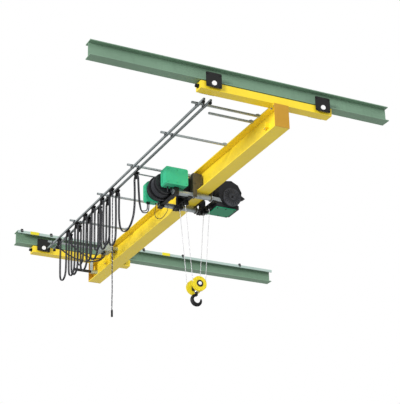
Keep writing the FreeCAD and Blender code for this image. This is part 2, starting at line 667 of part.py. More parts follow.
def sheave_frames():
    guides = []
    foot = TUBE_Z - TUBE_D / 2
    for side in (-1, 1):
        x = side * ROPE_TOP_X
        beam = box(x - 34, x + 34, TROLLEY_Y - TUBE_SPREAD - 30, TROLLEY_Y + TUBE_SPREAD + 30,
                   foot - 17, foot - FIT)
        pieces = [beam]
        for y in (TROLLEY_Y - ROPE_Y, TROLLEY_Y + ROPE_Y):
            pieces.append(box(x - 30, x + 30, y - 55, y - 20, ROPE_TOP_Z - 20, foot - 5))
            pieces.append(box(x - 30, x + 30, y + 20, y + 55, ROPE_TOP_Z - 20, foot - 5))
        y = TROLLEY_Y + ROPE_Y + 30
        x0 = min(side * (CHEEK_X + CHEEK_T + 3), side * (ROPE_TOP_X + 34))
        x1 = max(side * (CHEEK_X + CHEEK_T + 3), side * (ROPE_TOP_X + 34))
        pieces.append(box(x0, x1, y - 30, y + 30, foot - 17, TUBE_Z + 110))
        guides.append(joined(pieces))
    save("rope_guides", guides)
    ropes = []
    for v in (-1, 1):
        for side in (-1, 1):
            y = TROLLEY_Y + v * ROPE_Y
            ropes.append(rod(ROPE_D / 2, (side * ROPE_TOP_X, y, ROPE_TOP_Z),
                             (side * ROPE_LOW_X, y, BLOCK_Z)))
    save("hoist_ropes", ropes)


def tow_arm():
    """Bar that pulls the first cable trolley, on a bracket over the drum unit."""
    y = INNER_YS[0]
    z = RAIL_FOOT - 30
    near = TROLLEY_Y - DRUM_HALF
    x = RAIL_IN_X + SADDLE_HALF + TROLLEY_CHEEK_T + FIT
    reach = box(x, DRUM_X - 70, y - 8, y + 8, z - 8, z + 8)
    fork = box(x, x + 8, y - 52, y + 52, z - 8, z + 8)
    foot = box(DRUM_X - 80, DRUM_X + 60, near + 90, near + 180, DRUM_Z + DRUM_R - 30, z + 8)
    arm = joined([reach, fork, foot])
    save("tow_arm", arm.cut(rod(DRUM_R + FIT, (DRUM_X, near, DRUM_Z), (DRUM_X, near + 400, DRUM_Z))))


# -------------------------------------------------------------- bottom block
def bottom_block():
    guards = []
    sheaves = []
    for v in (-1, 1):
        y = TROLLEY_Y + v * ROPE_Y
        for w in (-1, 1):
            y0 = y + w * 14 if w > 0 else y - 22
            guards.append(rod(GUARD_R, (0, y0, BLOCK_Z), (0, y0 + 8, BLOCK_Z)))
        sheaves.append(rod(SHEAVE_R, (0, y - 11, BLOCK_Z), (0, y + 11, BLOCK_Z)))
    reach = ROPE_Y + 34
    axle = rod(17, (0, TROLLEY_Y - reach, BLOCK_Z), (0, TROLLEY_Y + reach, BLOCK_Z))
    cut_axle = rod(17 + FIT, (0, TROLLEY_Y - reach - 1, BLOCK_Z), (0, TROLLEY_Y + reach + 1, BLOCK_Z))
    save("block_guards", [g.cut(cut_axle) for g in guards])
    save("block_sheaves", [s.cut(cut_axle) for s in sheaves])
    save("block_axle", axle)
    inner = ROPE_Y - 24
    yoke = box(-40, 40, TROLLEY_Y - inner, TROLLEY_Y + inner, BLOCK_Z - 60, BLOCK_Z + 40)
    yoke = eased(yoke, 16, (0, 1, 0)).cut(cut_axle)
    yoke = yoke.cut(rod(24 + FIT, (0, TROLLEY_Y, BLOCK_Z - 61), (0, TROLLEY_Y, BLOCK_Z - 24)))
    save("hook_crosshead", yoke)


def hook():
    """Point hook: shank, round bowl open on its right, tapering to the tip."""
    y = TROLLEY_Y
    mid = 72.0
    sweep = []
    radii = [22, 22, 24, 27, 29, 30, 29, 26, 22, 17, 12]
    start = math.radians(90)
    stop = math.radians(90 + 285)
    steps = len(radii) - 1
    for k in range(steps + 1):
        a = start + (stop - start) * k / steps
        sweep.append((mid * math.cos(a), mid * math.sin(a), radii[k], a))
    profiles = []
    points = [Vector(p[0], y, HOOK_Z + p[1]) for p in sweep]
    for p in sweep:
        tangent = Vector(-math.sin(p[3]), 0, math.cos(p[3]))
        at = Vector(p[0], y, HOOK_Z + p[1])
        profiles.append(Part.Wire([Part.makeCircle(p[2], at, tangent)]))
    bowl = Part.makeLoft(profiles, True, False)
    neck_top = BLOCK_Z - 28
    shank = rod(20, (0, y, HOOK_Z + mid - 4), (0, y, neck_top))
    collar = rod(32, (0, y, BLOCK_Z - 74), (0, y, BLOCK_Z - 60 - FIT))
    save("hook", joined([bowl, shank, collar]))


runway()
conductor_line()
girder()
carriages()
carriage_wheels()
festoon_frame()
festoon_trolleys()
cabinets()
pendant_line()
hoist_line_tail()
trolley_frame()
trolley_wheels()
drum_unit()
motor_unit()
sheave_frames()
tow_arm()
bottom_block()
hook()
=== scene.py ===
import math

import bmesh
import bpy
from bpy.props import FloatProperty, FloatVectorProperty, IntProperty, PointerProperty
from bpy.types import Operator, Panel, PropertyGroup
from mathutils import Matrix, Vector


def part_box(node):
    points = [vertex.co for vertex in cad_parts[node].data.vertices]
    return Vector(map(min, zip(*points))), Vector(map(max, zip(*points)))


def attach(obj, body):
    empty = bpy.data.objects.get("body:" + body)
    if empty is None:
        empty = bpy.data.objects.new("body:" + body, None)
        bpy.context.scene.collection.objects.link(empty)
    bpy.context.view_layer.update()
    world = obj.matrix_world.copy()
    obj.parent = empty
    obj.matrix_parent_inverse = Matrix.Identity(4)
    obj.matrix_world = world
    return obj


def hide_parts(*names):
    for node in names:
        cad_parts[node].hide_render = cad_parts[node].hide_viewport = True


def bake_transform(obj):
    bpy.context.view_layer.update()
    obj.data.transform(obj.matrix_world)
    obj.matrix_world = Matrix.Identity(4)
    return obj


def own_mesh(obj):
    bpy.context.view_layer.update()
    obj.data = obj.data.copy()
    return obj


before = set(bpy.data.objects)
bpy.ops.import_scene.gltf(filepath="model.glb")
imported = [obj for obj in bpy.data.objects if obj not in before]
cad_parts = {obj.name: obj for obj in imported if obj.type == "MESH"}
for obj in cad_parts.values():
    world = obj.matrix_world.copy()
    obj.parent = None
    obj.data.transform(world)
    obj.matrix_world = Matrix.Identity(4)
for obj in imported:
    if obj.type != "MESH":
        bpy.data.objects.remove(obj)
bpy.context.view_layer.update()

bl_info = {
    "name": "Underslung bridge crane",
    "version": (1, 0, 0),
    "blender": (4, 5, 0),
    "location": "3D View > Sidebar > Crane",
    "description": "Paint, cables, wire rope, fasteners and fittings for an underslung bridge crane",
    "category": "Add Mesh",
}

X, Y, Z = Vector((1, 0, 0)), Vector((0, 1, 0)), Vector((0, 0, 1))


def span(node):
    """Lowest and highest corners of a node, as two vectors."""
    low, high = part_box(node)
    return Vector(low), Vector(high)


def middle(node):
    low, high = span(node)
    return (low + high) / 2


# Places that several pieces share, taken from the frame.
GIRDER_LOW, GIRDER_HIGH = span("main_girder")
GIRDER_TOP = GIRDER_HIGH.z
GIRDER_FOOT = GIRDER_LOW.z
GIRDER_HALF = GIRDER_HIGH.x
RAIL_OUT_X = middle("festoon_rail_outer").x
RAIL_IN_X = middle("festoon_rail_inner").x
RAIL_FOOT = span("festoon_rail_inner")[0].z
TROLLEY_Y = middle("cross_tubes").y
TUBE_Z = middle("cross_tubes").z
DRUM = middle("drum_housing")
BLOCK = middle("block_axle")
ROPE_LOW, ROPE_HIGH = span("hoist_ropes")
CABINET_LOW, CABINET_HIGH = span("control_cabinet")
SLIDERS = tuple("cable_trolley_%d" % (i + 1) for i in range(6))
SLIDER_YS = tuple(middle(name).y for name in SLIDERS)
CLAMP_Y = middle("hoist_line_end_clamp").y
SPAN = middle("far_runway_beam").y

# Places along the crane that its frame doesn't give one by one.
ARM_YS = (0.32, 1.29, 2.45, 3.6, 4.75, 5.75)
SHORT_ARM_Y = 0.51
HANGER_XS = (-1.42, -0.89, 0.86, 1.64, 2.8)
MOTOR_X = 0.445
MOTOR_Z = -0.610


def srgb(red, green, blue):
    """Linear colour of a screen colour given in 0 to 255."""
    out = []
    for value in (red, green, blue):
        c = value / 255
        out.append(c / 12.92 if c <= 0.04045 else ((c + 0.055) / 1.055) ** 2.4)
    return tuple(out)


def colour(name, description, red, green, blue):
    return FloatVectorProperty(name=name, description=description, subtype="COLOR", size=3,
                               min=0.0, max=1.0, default=srgb(red, green, blue))


def length(name, description, default):
    return FloatProperty(name=name, description=description, default=default,
                         min=0.0005, max=20.0, unit="LENGTH", precision=4)


class CraneSizes(PropertyGroup):
    """Sizes that a user would change."""
    cable: length("Cable", "Outer diameter of the supply and pendant cables", 0.016)
    pair: length("Cable pitch", "Distance between two cables on one saddle", 0.0175)
    loop_drop: length("Loop drop", "Depth of a hanging cable loop below its saddle", 0.80)
    pendant_drop: length("Pendant drop", "Length of the pendant cable below its trolley", 1.91)
    control_cable: length("Control cable", "Diameter of the thin cable on the hoist", 0.009)
    rope: length("Wire rope", "Diameter of the hoisting rope", 0.009)
    bolt: length("Structure bolt", "Width across flats of the structural bolts", 0.024)
    screw: length("Cover screw", "Width across flats of the cover screws", 0.013)
    bead: length("Weld bead", "Width of the weld seams", 0.008)
    rope_lay: IntProperty(name="Rope lay turns", description="Turns of the strands in one rope fall",
                          default=17, min=4, max=60)
    fins: IntProperty(name="Motor slots", description="Ribs on the motor's fan cover",
                      default=18, min=6, max=48)


class CraneColours(PropertyGroup):
    """Colours of the paints, metals and rubbers."""
    crane_paint: colour("Crane paint", "Girder and end carriages", 252, 222, 52)
    # The end plates' colour is the crane yellow darkened to brown gold: painted shade, not a paint of its
    # own.
    end_plate_painted_shade: colour("End plate paint with painted shade", "Crane yellow darkened as painted shade on the girder's end plates", 198, 148, 40)
    runway_paint: colour("Runway paint", "Runway beams", 120, 152, 128)
    hoist_paint: colour("Hoist covers", "Green covers of the hoist", 52, 182, 134)
    tray_paint: colour("Tray", "Darker green cover under the motor", 18, 140, 98)
    housing_paint: colour("Hoist housing", "Drum, gear and motor housings", 24, 25, 29)
    motor_paint: colour("Motor cover", "Fan cover of the motor", 62, 64, 70)
    plate_paint: colour("Trolley plates", "Cheeks and end frame of the trolley", 74, 68, 52)
    black_paint: colour("Black paint", "Wheel trucks, clamps and brackets", 9, 9, 10)
    block_paint: colour("Hook block paint", "Side plates of the hook block", 244, 222, 40)
    line_grey: colour("Conductor line", "Plastic conductor line", 176, 197, 190)
    line_yellow: colour("Joint covers", "Covers of the conductor line's joints", 232, 220, 44)
    cabinet_paint: colour("Cabinet", "Control cabinet", 168, 180, 178)
    zinc: colour("Zinc", "Galvanised rails, arms and tubes", 176, 184, 186)
    steel: colour("Steel", "Bare bolts, wheels and pins", 196, 198, 200)
    rope_steel: colour("Rope", "Wire rope", 226, 226, 228)
    cable_rubber: colour("Cable", "Sheath of the cables", 52, 53, 58)
    hub_white: colour("Hub caps", "White caps of the wheel axles and sheave pins", 246, 246, 246)
    hook_iron: colour("Hook", "Forged hook", 26, 26, 28)


# ------------------------------------------------------------------ materials
def node(tree, kind, **values):
    made = tree.nodes.new(kind)
    for key, value in values.items():
        if key in made.inputs:
            made.inputs[key].default_value = value
        else:
            setattr(made, key, value)
    return made


def start_material(name, roughness, metallic=0.0):
    material = bpy.data.materials.new(name)
    material.use_nodes = True
    tree = material.node_tree
    shader = tree.nodes["Principled BSDF"]
    shader.inputs["Roughness"].default_value = roughness
    shader.inputs["Metallic"].default_value = metallic
    coordinates = tree.nodes.new("ShaderNodeTexCoord")
    return material, tree, shader, coordinates.outputs["Object"]


def tones(base, spread):
    """Darker and lighter tone of a colour, with alpha."""
    dark = tuple(max(0.0, c * (1 - spread)) for c in base)
    light = tuple(min(1.0, c * (1 + spread * 0.6)) for c in base)
    return (*dark, 1.0), (*light, 1.0)


def mottle(tree, shader, place, base, spread, scale, detail=5.0):
    """Colour that drifts between two close tones."""
    dark, light = tones(base, spread)
    noise = node(tree, "ShaderNodeTexNoise", Scale=scale, Detail=detail, Roughness=0.6)
    ramp = tree.nodes.new("ShaderNodeValToRGB")
    ramp.color_ramp.elements[0].position = 0.32
    ramp.color_ramp.elements[0].color = dark
    ramp.color_ramp.elements[1].position = 0.68
    ramp.color_ramp.elements[1].color = light
    tree.links.new(place, noise.inputs["Vector"])
    tree.links.new(noise.outputs["Fac"], ramp.inputs["Fac"])
    tree.links.new(ramp.outputs["Color"], shader.inputs["Base Color"])
    return ramp, noise


def vary_roughness(tree, shader, source, low, high):
    spread = tree.nodes.new("ShaderNodeMapRange")
    spread.inputs["To Min"].default_value = low
    spread.inputs["To Max"].default_value = high
    tree.links.new(source, spread.inputs["Value"])
    tree.links.new(spread.outputs["Result"], shader.inputs["Roughness"])


def add_bump(tree, shader, source, strength, distance):
    bump = node(tree, "ShaderNodeBump", Strength=strength, Distance=distance)
    tree.links.new(source, bump.inputs["Height"])
    tree.links.new(bump.outputs["Normal"], shader.inputs["Normal"])


def add_grime(tree, shader, place, ramp, amount, tint):
    """Faint run marks and dust, drawn out downwards."""
    stretch = tree.nodes.new("ShaderNodeMapping")
    stretch.inputs["Scale"].default_value = (9.0, 9.0, 1.6)
    streak = node(tree, "ShaderNodeTexNoise", Scale=2.4, Detail=6.0, Roughness=0.65)
    cut = tree.nodes.new("ShaderNodeMapRange")
    cut.inputs["From Min"].default_value = 0.52
    cut.inputs["From Max"].default_value = 0.80
    cut.inputs["To Max"].default_value = amount
    mix = tree.nodes.new("ShaderNodeMix")
    mix.data_type = "RGBA"
    mix.inputs[7].default_value = (*tint, 1.0)
    tree.links.new(place, stretch.inputs["Vector"])
    tree.links.new(stretch.outputs["Vector"], streak.inputs["Vector"])
    tree.links.new(streak.outputs["Fac"], cut.inputs["Value"])
    tree.links.new(cut.outputs["Result"], mix.inputs[0])
    tree.links.new(ramp.outputs["Color"], mix.inputs[6])
    tree.links.new(mix.outputs[2], shader.inputs["Base Color"])


def paint(name, base, roughness=0.38, spread=0.07, scale=2.2, grime=0.25, coat=0.15):
    """Sprayed paint: soft tone drift, orange peel and faint streaks of dust."""
    material, tree, shader, place = start_material(name, roughness)
    shader.inputs["Coat Weight"].default_value = coat
    shader.inputs["Coat Roughness"].default_value = 0.25
    ramp, noise = mottle(tree, shader, place, base, spread, scale)
    add_grime(tree, shader, place, ramp, grime, tuple(c * 0.45 + 0.02 for c in base))
    vary_roughness(tree, shader, noise.outputs["Fac"], roughness - 0.07, roughness + 0.12)
    peel = node(tree, "ShaderNodeTexNoise", Scale=260.0, Detail=2.0)
    tree.links.new(place, peel.inputs["Vector"])
    add_bump(tree, shader, peel.outputs["Fac"], 0.08, 0.001)
    return material


def galvanised(name, base):
    """Hot-dip zinc with its spangle."""
    material, tree, shader, place = start_material(name, 0.42, 0.65)
    cells = node(tree, "ShaderNodeTexVoronoi", Scale=55.0)
    dark, light = tones(base, 0.22)
    ramp = tree.nodes.new("ShaderNodeValToRGB")
    ramp.color_ramp.elements[0].color = dark
    ramp.color_ramp.elements[1].color = light
    tree.links.new(place, cells.inputs["Vector"])
    tree.links.new(cells.outputs["Color"], ramp.inputs["Fac"])
    tree.links.new(ramp.outputs["Color"], shader.inputs["Base Color"])
    vary_roughness(tree, shader, cells.outputs["Distance"], 0.34, 0.52)
    add_bump(tree, shader, cells.outputs["Distance"], 0.05, 0.001)
    return material


def surface(name, base, roughness, drift, finish, grain, bump, metallic=0.0):
    """Mottled colour under a fine grain, which also gives the bump."""
    material, tree, shader, place = start_material(name, roughness, metallic)
    noise = mottle(tree, shader, place, base, *drift)[1]
    vary_roughness(tree, shader, noise.outputs["Fac"], *finish)
    fine = node(tree, "ShaderNodeTexNoise", **grain)
    tree.links.new(place, fine.inputs["Vector"])
    add_bump(tree, shader, fine.outputs["Fac"], *bump)
    return material


def machined(name, base, roughness=0.32):
    """Turned or rolled bare steel with fine marks."""
    return surface(name, base, roughness, (0.12, 30.0), (roughness - 0.08, roughness + 0.14),
                   {"Scale": 420.0, "Detail": 3.0}, (0.06, 0.0006), 0.9)


def moulded(name, base, roughness=0.45):
    """Moulded plastic or glass-fibre cover with a fine even texture."""
    return surface(name, base, roughness, (0.05, 5.0), (roughness - 0.06, roughness + 0.08),
                   {"Scale": 700.0, "Detail": 2.0}, (0.06, 0.0005))


def rubber(name, base, roughness=0.62):
    """Dull rubber with a fine skin."""
    material = surface(name, base, roughness, (0.18, 14.0), (roughness - 0.1, roughness + 0.1),
                       {"Scale": 320.0, "Detail": 3.0}, (0.12, 0.0008))
    material.node_tree.nodes["Principled BSDF"].inputs["Specular IOR Level"].default_value = 0.35
    return material


def forged(name, base):
    """Forged and blacked iron with a rough scale."""
    return surface(name, base, 0.5, (0.3, 22.0), (0.42, 0.7),
                   {"Scale": 60.0, "Detail": 8.0, "Roughness": 0.7}, (0.25, 0.002), 0.35)


def cast(name, base):
    """Painted casting with a coarse skin."""
    return surface(name, base, 0.45, (0.2, 9.0), (0.36, 0.58),
                   {"Scale": 110.0, "Detail": 5.0}, (0.18, 0.0015))


def make_materials():
    c = bpy.context.scene.crane_colours
    return {
        "crane_paint": paint("Crane paint", tuple(c.crane_paint), grime=0.12),
        # Crane paint darkened as painted shade for the girder's end plates.
        "end_plate_painted_shade": paint("End plate paint with painted shade", tuple(c.end_plate_painted_shade), grime=0.2),
        "runway_paint": paint("Runway paint", tuple(c.runway_paint), 0.5, 0.1, 1.4, 0.3, 0.05),
        "hoist_paint": moulded("Hoist cover green", tuple(c.hoist_paint)),
        "tray_paint": moulded("Tray green", tuple(c.tray_paint)),
        "housing_paint": cast("Hoist housing black", tuple(c.housing_paint)),
        "motor_paint": cast("Motor cover grey", tuple(c.motor_paint)),
        "plate_paint": paint("Trolley plate paint", tuple(c.plate_paint), 0.5, 0.15, 6.0, 0.3, 0.05),
        "black_paint": paint("Black paint", tuple(c.black_paint), 0.55, 0.2, 6.0, 0.1, 0.0),
        "block_paint": paint("Hook block paint", tuple(c.block_paint), 0.36, 0.06, 6.0, 0.2, 0.15),
        "line_grey": moulded("Conductor line grey", tuple(c.line_grey)),
        "line_yellow": moulded("Joint cover yellow", tuple(c.line_yellow)),
        "cabinet_paint": paint("Cabinet paint", tuple(c.cabinet_paint), 0.45, 0.05, 5.0, 0.12, 0.05),
        "zinc": galvanised("Zinc", tuple(c.zinc)),
        "steel": machined("Steel", tuple(c.steel)),
        "hub_white": paint("Hub white", tuple(c.hub_white), 0.35, 0.02, 6.0, 0.04, 0.1),
        "rope_steel": galvanised("Rope steel", tuple(c.rope_steel)),
        "cable_rubber": rubber("Cable rubber", tuple(c.cable_rubber)),
        "black_rubber": rubber("Black rubber", tuple(c.black_paint), 0.7),
        "hook_iron": forged("Hook iron", tuple(c.hook_iron)),
    }


def material(key):
    return bpy.data.materials[MATERIAL_NAMES[key]]


MATERIAL_NAMES = {}

NODE_FINISH = {
    "crane_paint": ("main_girder", "near_end_carriage", "far_end_carriage", "girder_end_stops"),
    # Girder end plates get the darker copy of the crane yellow as painted shade.
    "end_plate_painted_shade": ("girder_end_plates",),
    "runway_paint": ("near_runway_beam", "far_runway_beam"),
    "line_grey": ("conductor_rail",),
    "line_yellow": ("conductor_joint_covers",),
    "cabinet_paint": ("control_cabinet", "far_arm_plate"),
    "zinc": ("festoon_rail_outer", "festoon_rail_inner", "festoon_arms", "cross_tubes",
             "tow_arm", "cabinet_rails"),
    "hub_white": ("truck_pins", "block_axle"),
    "steel": ("near_left_wheels", "near_right_wheels", "far_left_wheels", "far_right_wheels",
              "trolley_front_wheels", "trolley_rear_wheels"),
    "black_paint": ("wheel_trucks", "festoon_rail_clamps", "conductor_rail_hangers", "far_end_arm",
                    "rope_guides", "drum_frame"),
    "black_rubber": ("carriage_buffers", "pendant_line_trolleys", "hoist_line_end_clamp",
                     "pendant_cable_end", *SLIDERS),
    "plate_paint": ("trolley_cheeks", "trolley_end_frame"),
    "housing_paint": ("drum_housing", "gear_housing"),
    "motor_paint": ("brake_cover",),
    "hoist_paint": ("control_box", "drum_end_cover"),
    "tray_paint": ("motor_cover",),
    "block_paint": ("block_guards",),
    "hook_iron": ("hook_crosshead", "hook"),
}


# ------------------------------------------------------------- mesh building
def turned(direction):
    """Matrix that turns +Z to a direction."""
    return Z.rotation_difference(Vector(direction)).to_matrix().to_4x4()


def add_cone(bm, start, direction, depth, radius, tip=None, sides=24):
    """Closed cylinder or cone from a start point along a direction."""
    matrix = Matrix.Translation(Vector(start)) @ turned(direction)
    matrix = matrix @ Matrix.Translation((0, 0, depth / 2))
    return bmesh.ops.create_cone(bm, cap_ends=True, segments=sides, radius1=radius,
                                 radius2=radius if tip is None else tip, depth=depth,
                                 matrix=matrix)["verts"]


def add_block(bm, low, high, ease=0.0, steps=2):
    low, high = Vector(low), Vector(high)
    size = high - low
    matrix = Matrix.Translation((low + high) / 2) @ Matrix.Diagonal((*size, 1.0))
    verts = bmesh.ops.create_cube(bm, size=1.0, matrix=matrix)["verts"]
    if ease > 0:
        edges = list(dict.fromkeys(e for v in verts for e in v.link_edges))
        bmesh.ops.bevel(bm, geom=edges, offset=ease, affect="EDGES", segments=steps,
                        profile=0.5, material=-1, clamp_overlap=True)


def add_bolt(bm, at, direction, flats, sunk=0.0):
    """Washer and hexagon head on a surface point, with the head's rim taken off."""
    d = Vector(direction).normalized()
    at = Vector(at) - d * sunk
    washer = flats * 0.16
    head = flats * 0.58
    add_cone(bm, at, d, washer, flats * 0.86, sides=20)
    add_cone(bm, at + d * washer, d, head * 0.78, flats * 0.577, sides=6)
    add_cone(bm, at + d * (washer + head * 0.78), d, head * 0.22, flats * 0.577,
             flats * 0.47, sides=6)


def add_stud(bm, at, direction, flats, tail):
    """Nut on a threaded end."""
    d = Vector(direction).normalized()
    add_bolt(bm, at, d, flats)
    add_cone(bm, Vector(at) + d * flats * 0.74, d, tail, flats * 0.3, flats * 0.26, sides=14)


def add_lathe(bm, profile, centre, direction, steps=48):
    """Shape turned round an axis: profile holds (radius, place along the axis)."""
    verts = [bm.verts.new((radius, 0.0, along)) for radius, along in profile]
    edges = [bm.edges.new(pair) for pair in zip(verts, verts[1:])]
    geometry = verts + edges
    made = bmesh.ops.spin(bm, geom=geometry, cent=(0, 0, 0), axis=(0, 0, 1),
                          angle=math.tau, steps=steps, use_merge=True)
    last = [v for v in made["geom_last"] if isinstance(v, bmesh.types.BMVert)]
    seen = dict.fromkeys(verts + last)
    stack = list(seen)
    while stack:
        for edge in stack.pop().link_edges:
            for v in edge.verts:
                if v not in seen:
                    seen[v] = None
                    stack.append(v)
    found = [v for v in seen if v.is_valid]
    bmesh.ops.remove_doubles(bm, verts=found, dist=1e-6)
    found = [v for v in found if v.is_valid]
    matrix = Matrix.Translation(Vector(centre)) @ turned(direction)
    bmesh.ops.transform(bm, matrix=matrix, verts=found)


def add_bead(bm, start, end, width, sides=8):
    """Weld bead: a slim rod whose girth wavers along its run."""
    start, end = Vector(start), Vector(end)
    run = (end - start).length
    count = max(2, int(run / (width * 1.6)))
    verts = bmesh.ops.create_circle(bm, cap_ends=True, radius=width / 2, segments=sides,
                                    matrix=Matrix.Translation(start) @ turned(end - start))["verts"]
    faces = list(dict.fromkeys(f for v in verts for f in v.link_faces))
    step = (end - start) / count
    for k in range(count):
        made = bmesh.ops.extrude_face_region(bm, geom=faces)["geom"]
        if k:
            bmesh.ops.delete(bm, geom=faces, context="FACES_ONLY")
        faces = [g for g in made if isinstance(g, bmesh.types.BMFace)]
        verts = [g for g in made if isinstance(g, bmesh.types.BMVert)]
        bmesh.ops.translate(bm, verts=verts, vec=step)
        swell = 1.10 if k % 2 == 0 else 1 / 1.10
        centre = start + step * (k + 1)
        bmesh.ops.scale(bm, vec=(swell,) * 3, verts=verts, space=Matrix.Translation(-centre))


def finish_piece(bm, name, key, body, crease=35.0):
    """Turn a bmesh into a finished piece that rides on a body."""
    bmesh.ops.recalc_face_normals(bm, faces=bm.faces[:])
    limit = math.radians(crease)
    for face in bm.faces:
        face.smooth = True
    for edge in bm.edges:
        edge.smooth = len(edge.link_faces) == 2 and edge.calc_face_angle(0.0) < limit
    mesh = bpy.data.meshes.new(name)
    bm.to_mesh(mesh)
    bm.free()
    mesh.materials.append(material(key))
    piece = bpy.data.objects.new(name, mesh)
    bpy.context.scene.collection.objects.link(piece)
    if body:
        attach(piece, body)
    return piece


# --------------------------------------------------------------------- cables
SADDLE_Z = RAIL_FOOT - 0.0503
LOOP_TOP = SADDLE_Z - 0.063
SIDE_STEPS = (0.0, 0.08, 0.22, 0.44, 0.66, 0.85, 1.0)
PENDANT_STEPS = (0.0, 0.024, 0.066, 0.14, 0.23, 0.32, 0.41, 0.50, 0.60, 0.70, 0.80, 0.90, 1.0)
OUTER_YS = (3.25, 3.62, 3.97, 4.31, 4.68, 5.06, 5.45)


def loop_points(y0, y1, drop):
    """Hanging loop between two saddles, as (y, z): two long sides and a round foot."""
    half = (y1 - y0) / 2
    centre = (y0 + y1) / 2
    side = drop - half
    down = [(half + 0.009 * math.sin(math.pi * f), LOOP_TOP - side * f) for f in SIDE_STEPS]
    foot = []
    for k in range(1, 6):
        a = math.radians(30 * k)
        foot.append((half * math.cos(a), LOOP_TOP - side - half * math.sin(a)))
    points = [(centre - u, v) for u, v in down]
    points.extend([(centre - u, v) for u, v in foot])
    points.extend([(centre + u, v) for u, v in reversed(down)])
    return points


def hump(x, y):
    """The cable's way over a trolley's saddle."""
    return [(x, y - 0.046, SADDLE_Z - 0.017), (x, y, SADDLE_Z), (x, y + 0.046, SADDLE_Z - 0.017)]


def sag(start, end, drop, count):
    points = []
    for k in range(1, count + 1):
        t = k / count
        dip = drop * 4 * t * (1 - t)
        point = Vector(start).lerp(Vector(end), t)
        points.append((point.x, point.y, point.z - dip))
    return points


def into_cabinet(start, x, y, drop, count):
    foot = CABINET_LOW.z
    points = sag(start, (x, y, foot - 0.130), drop, count)
    points.append((x + 0.026, y, foot - 0.064))
    points.append((x + 0.028, y, foot - 0.0008))
    return points


def pendant_route(x):
    sizes = bpy.context.scene.crane_sizes
    points = []
    for k, f in enumerate(reversed(PENDANT_STEPS)):
        sway = 0.007 * math.sin(2.2 * k) if 0 < f < 1 else 0.0
        points.append((x, OUTER_YS[0] - 0.066 + sway, LOOP_TOP - sizes.pendant_drop * f))
    return points


def outer_route(x, x_cabinet):
    """Over every saddle of the outer rail and on into the cabinet."""
    sizes = bpy.context.scene.crane_sizes
    points = hump(x, OUTER_YS[0])
    for i in range(len(OUTER_YS) - 1):
        drop = sizes.loop_drop * (1.0 - 0.06 * (i % 2)) - 0.060
        loop = loop_points(OUTER_YS[i] + 0.066, OUTER_YS[i + 1] - 0.066, drop)
        points.extend([(x, u, v) for u, v in loop])
        points.extend(hump(x, OUTER_YS[i + 1]))
    last = (x + 0.008, OUTER_YS[-1] + 0.070, LOOP_TOP - 0.012)
    points.append(last)
    points.extend(into_cabinet(last, x_cabinet, CABINET_HIGH.y - 0.070, 0.120, 7))
    return points


def tail_route(x, x_cabinet):
    points = [(x, CLAMP_Y - 0.066, LOOP_TOP)]
    points.extend(hump(x, CLAMP_Y))
    last = (x + 0.008, CLAMP_Y + 0.070, LOOP_TOP - 0.012)
    points.append(last)
    points.extend(into_cabinet(last, x_cabinet, CABINET_LOW.y + 0.070, 0.100, 6))
    return points


def route_curve(name, points, diameter):
    """One smooth line with the route's points as its control points."""
    data = bpy.data.curves.new(name, "CURVE")
    data.dimensions = "3D"
    spline = data.splines.new("NURBS")
    spline.points.add(len(points) - 1)
    for point, place in zip(spline.points, points):
        point.co = (*place, 1.0)
    spline.order_u = 3
    spline.use_endpoint_u = True
    spline.resolution_u = 6
    data.bevel_depth = diameter / 2
    data.bevel_resolution = 3
    data.use_fill_caps = True
    piece = bpy.data.objects.new(name, data)
    bpy.context.scene.collection.objects.link(piece)
    return piece


def line_of(points):
    """Points along the smooth line that a route's control points give."""
    curve = route_curve("route_line", points, 0.0)
    graph = bpy.context.evaluated_depsgraph_get()
    mesh = bpy.data.meshes.new_from_object(curve.evaluated_get(graph))
    line = [tuple(v.co) for v in mesh.vertices]
    data = curve.data
    bpy.data.objects.remove(curve)
    bpy.data.curves.remove(data)
    bpy.data.meshes.remove(mesh)
    return line


def run_length(points):
    return sum((Vector(b) - Vector(a)).length for a, b in zip(points, points[1:]))


def tube_piece(name, points, diameter):
    """Mesh tube along a route, with the points of its line."""
    path = line_of(points)
    curve = route_curve(name + "_route", points, diameter)
    graph = bpy.context.evaluated_depsgraph_get()
    mesh = bpy.data.meshes.new_from_object(curve.evaluated_get(graph))
    mesh.name = name
    data = curve.data
    bpy.data.objects.remove(curve)
    bpy.data.curves.remove(data)
    mesh.materials.clear()
    mesh.materials.append(material("cable_rubber"))
    mesh.shade_smooth()
    piece = bpy.data.objects.new(name, mesh)
    bpy.context.scene.collection.objects.link(piece)
    return piece, path


def free_tube(name, points, diameter, body):
    piece, path = tube_piece(name, points, diameter)
    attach(piece, body)
    return piece


def build_pendant_line():
    sizes = bpy.context.scene.crane_sizes
    x = RAIL_OUT_X - sizes.pair / 2
    cabinet_x = CABINET_LOW.x + 0.040
    points = pendant_route(x) + outer_route(x, cabinet_x)
    points.reverse()
    curve = route_curve("pendant_line", points, sizes.cable)
    curve.data.materials.append(material("cable_rubber"))
    line = line_of(points)
    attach(curve, "bridge")
    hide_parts("pendant_line_cable")
    twin = outer_route(RAIL_OUT_X + sizes.pair / 2, cabinet_x + 0.022)
    twin[0:1] = []
    free_tube("pendant_line_twin", list(reversed(twin)), sizes.cable, "bridge")
    build_strain_wire(line)


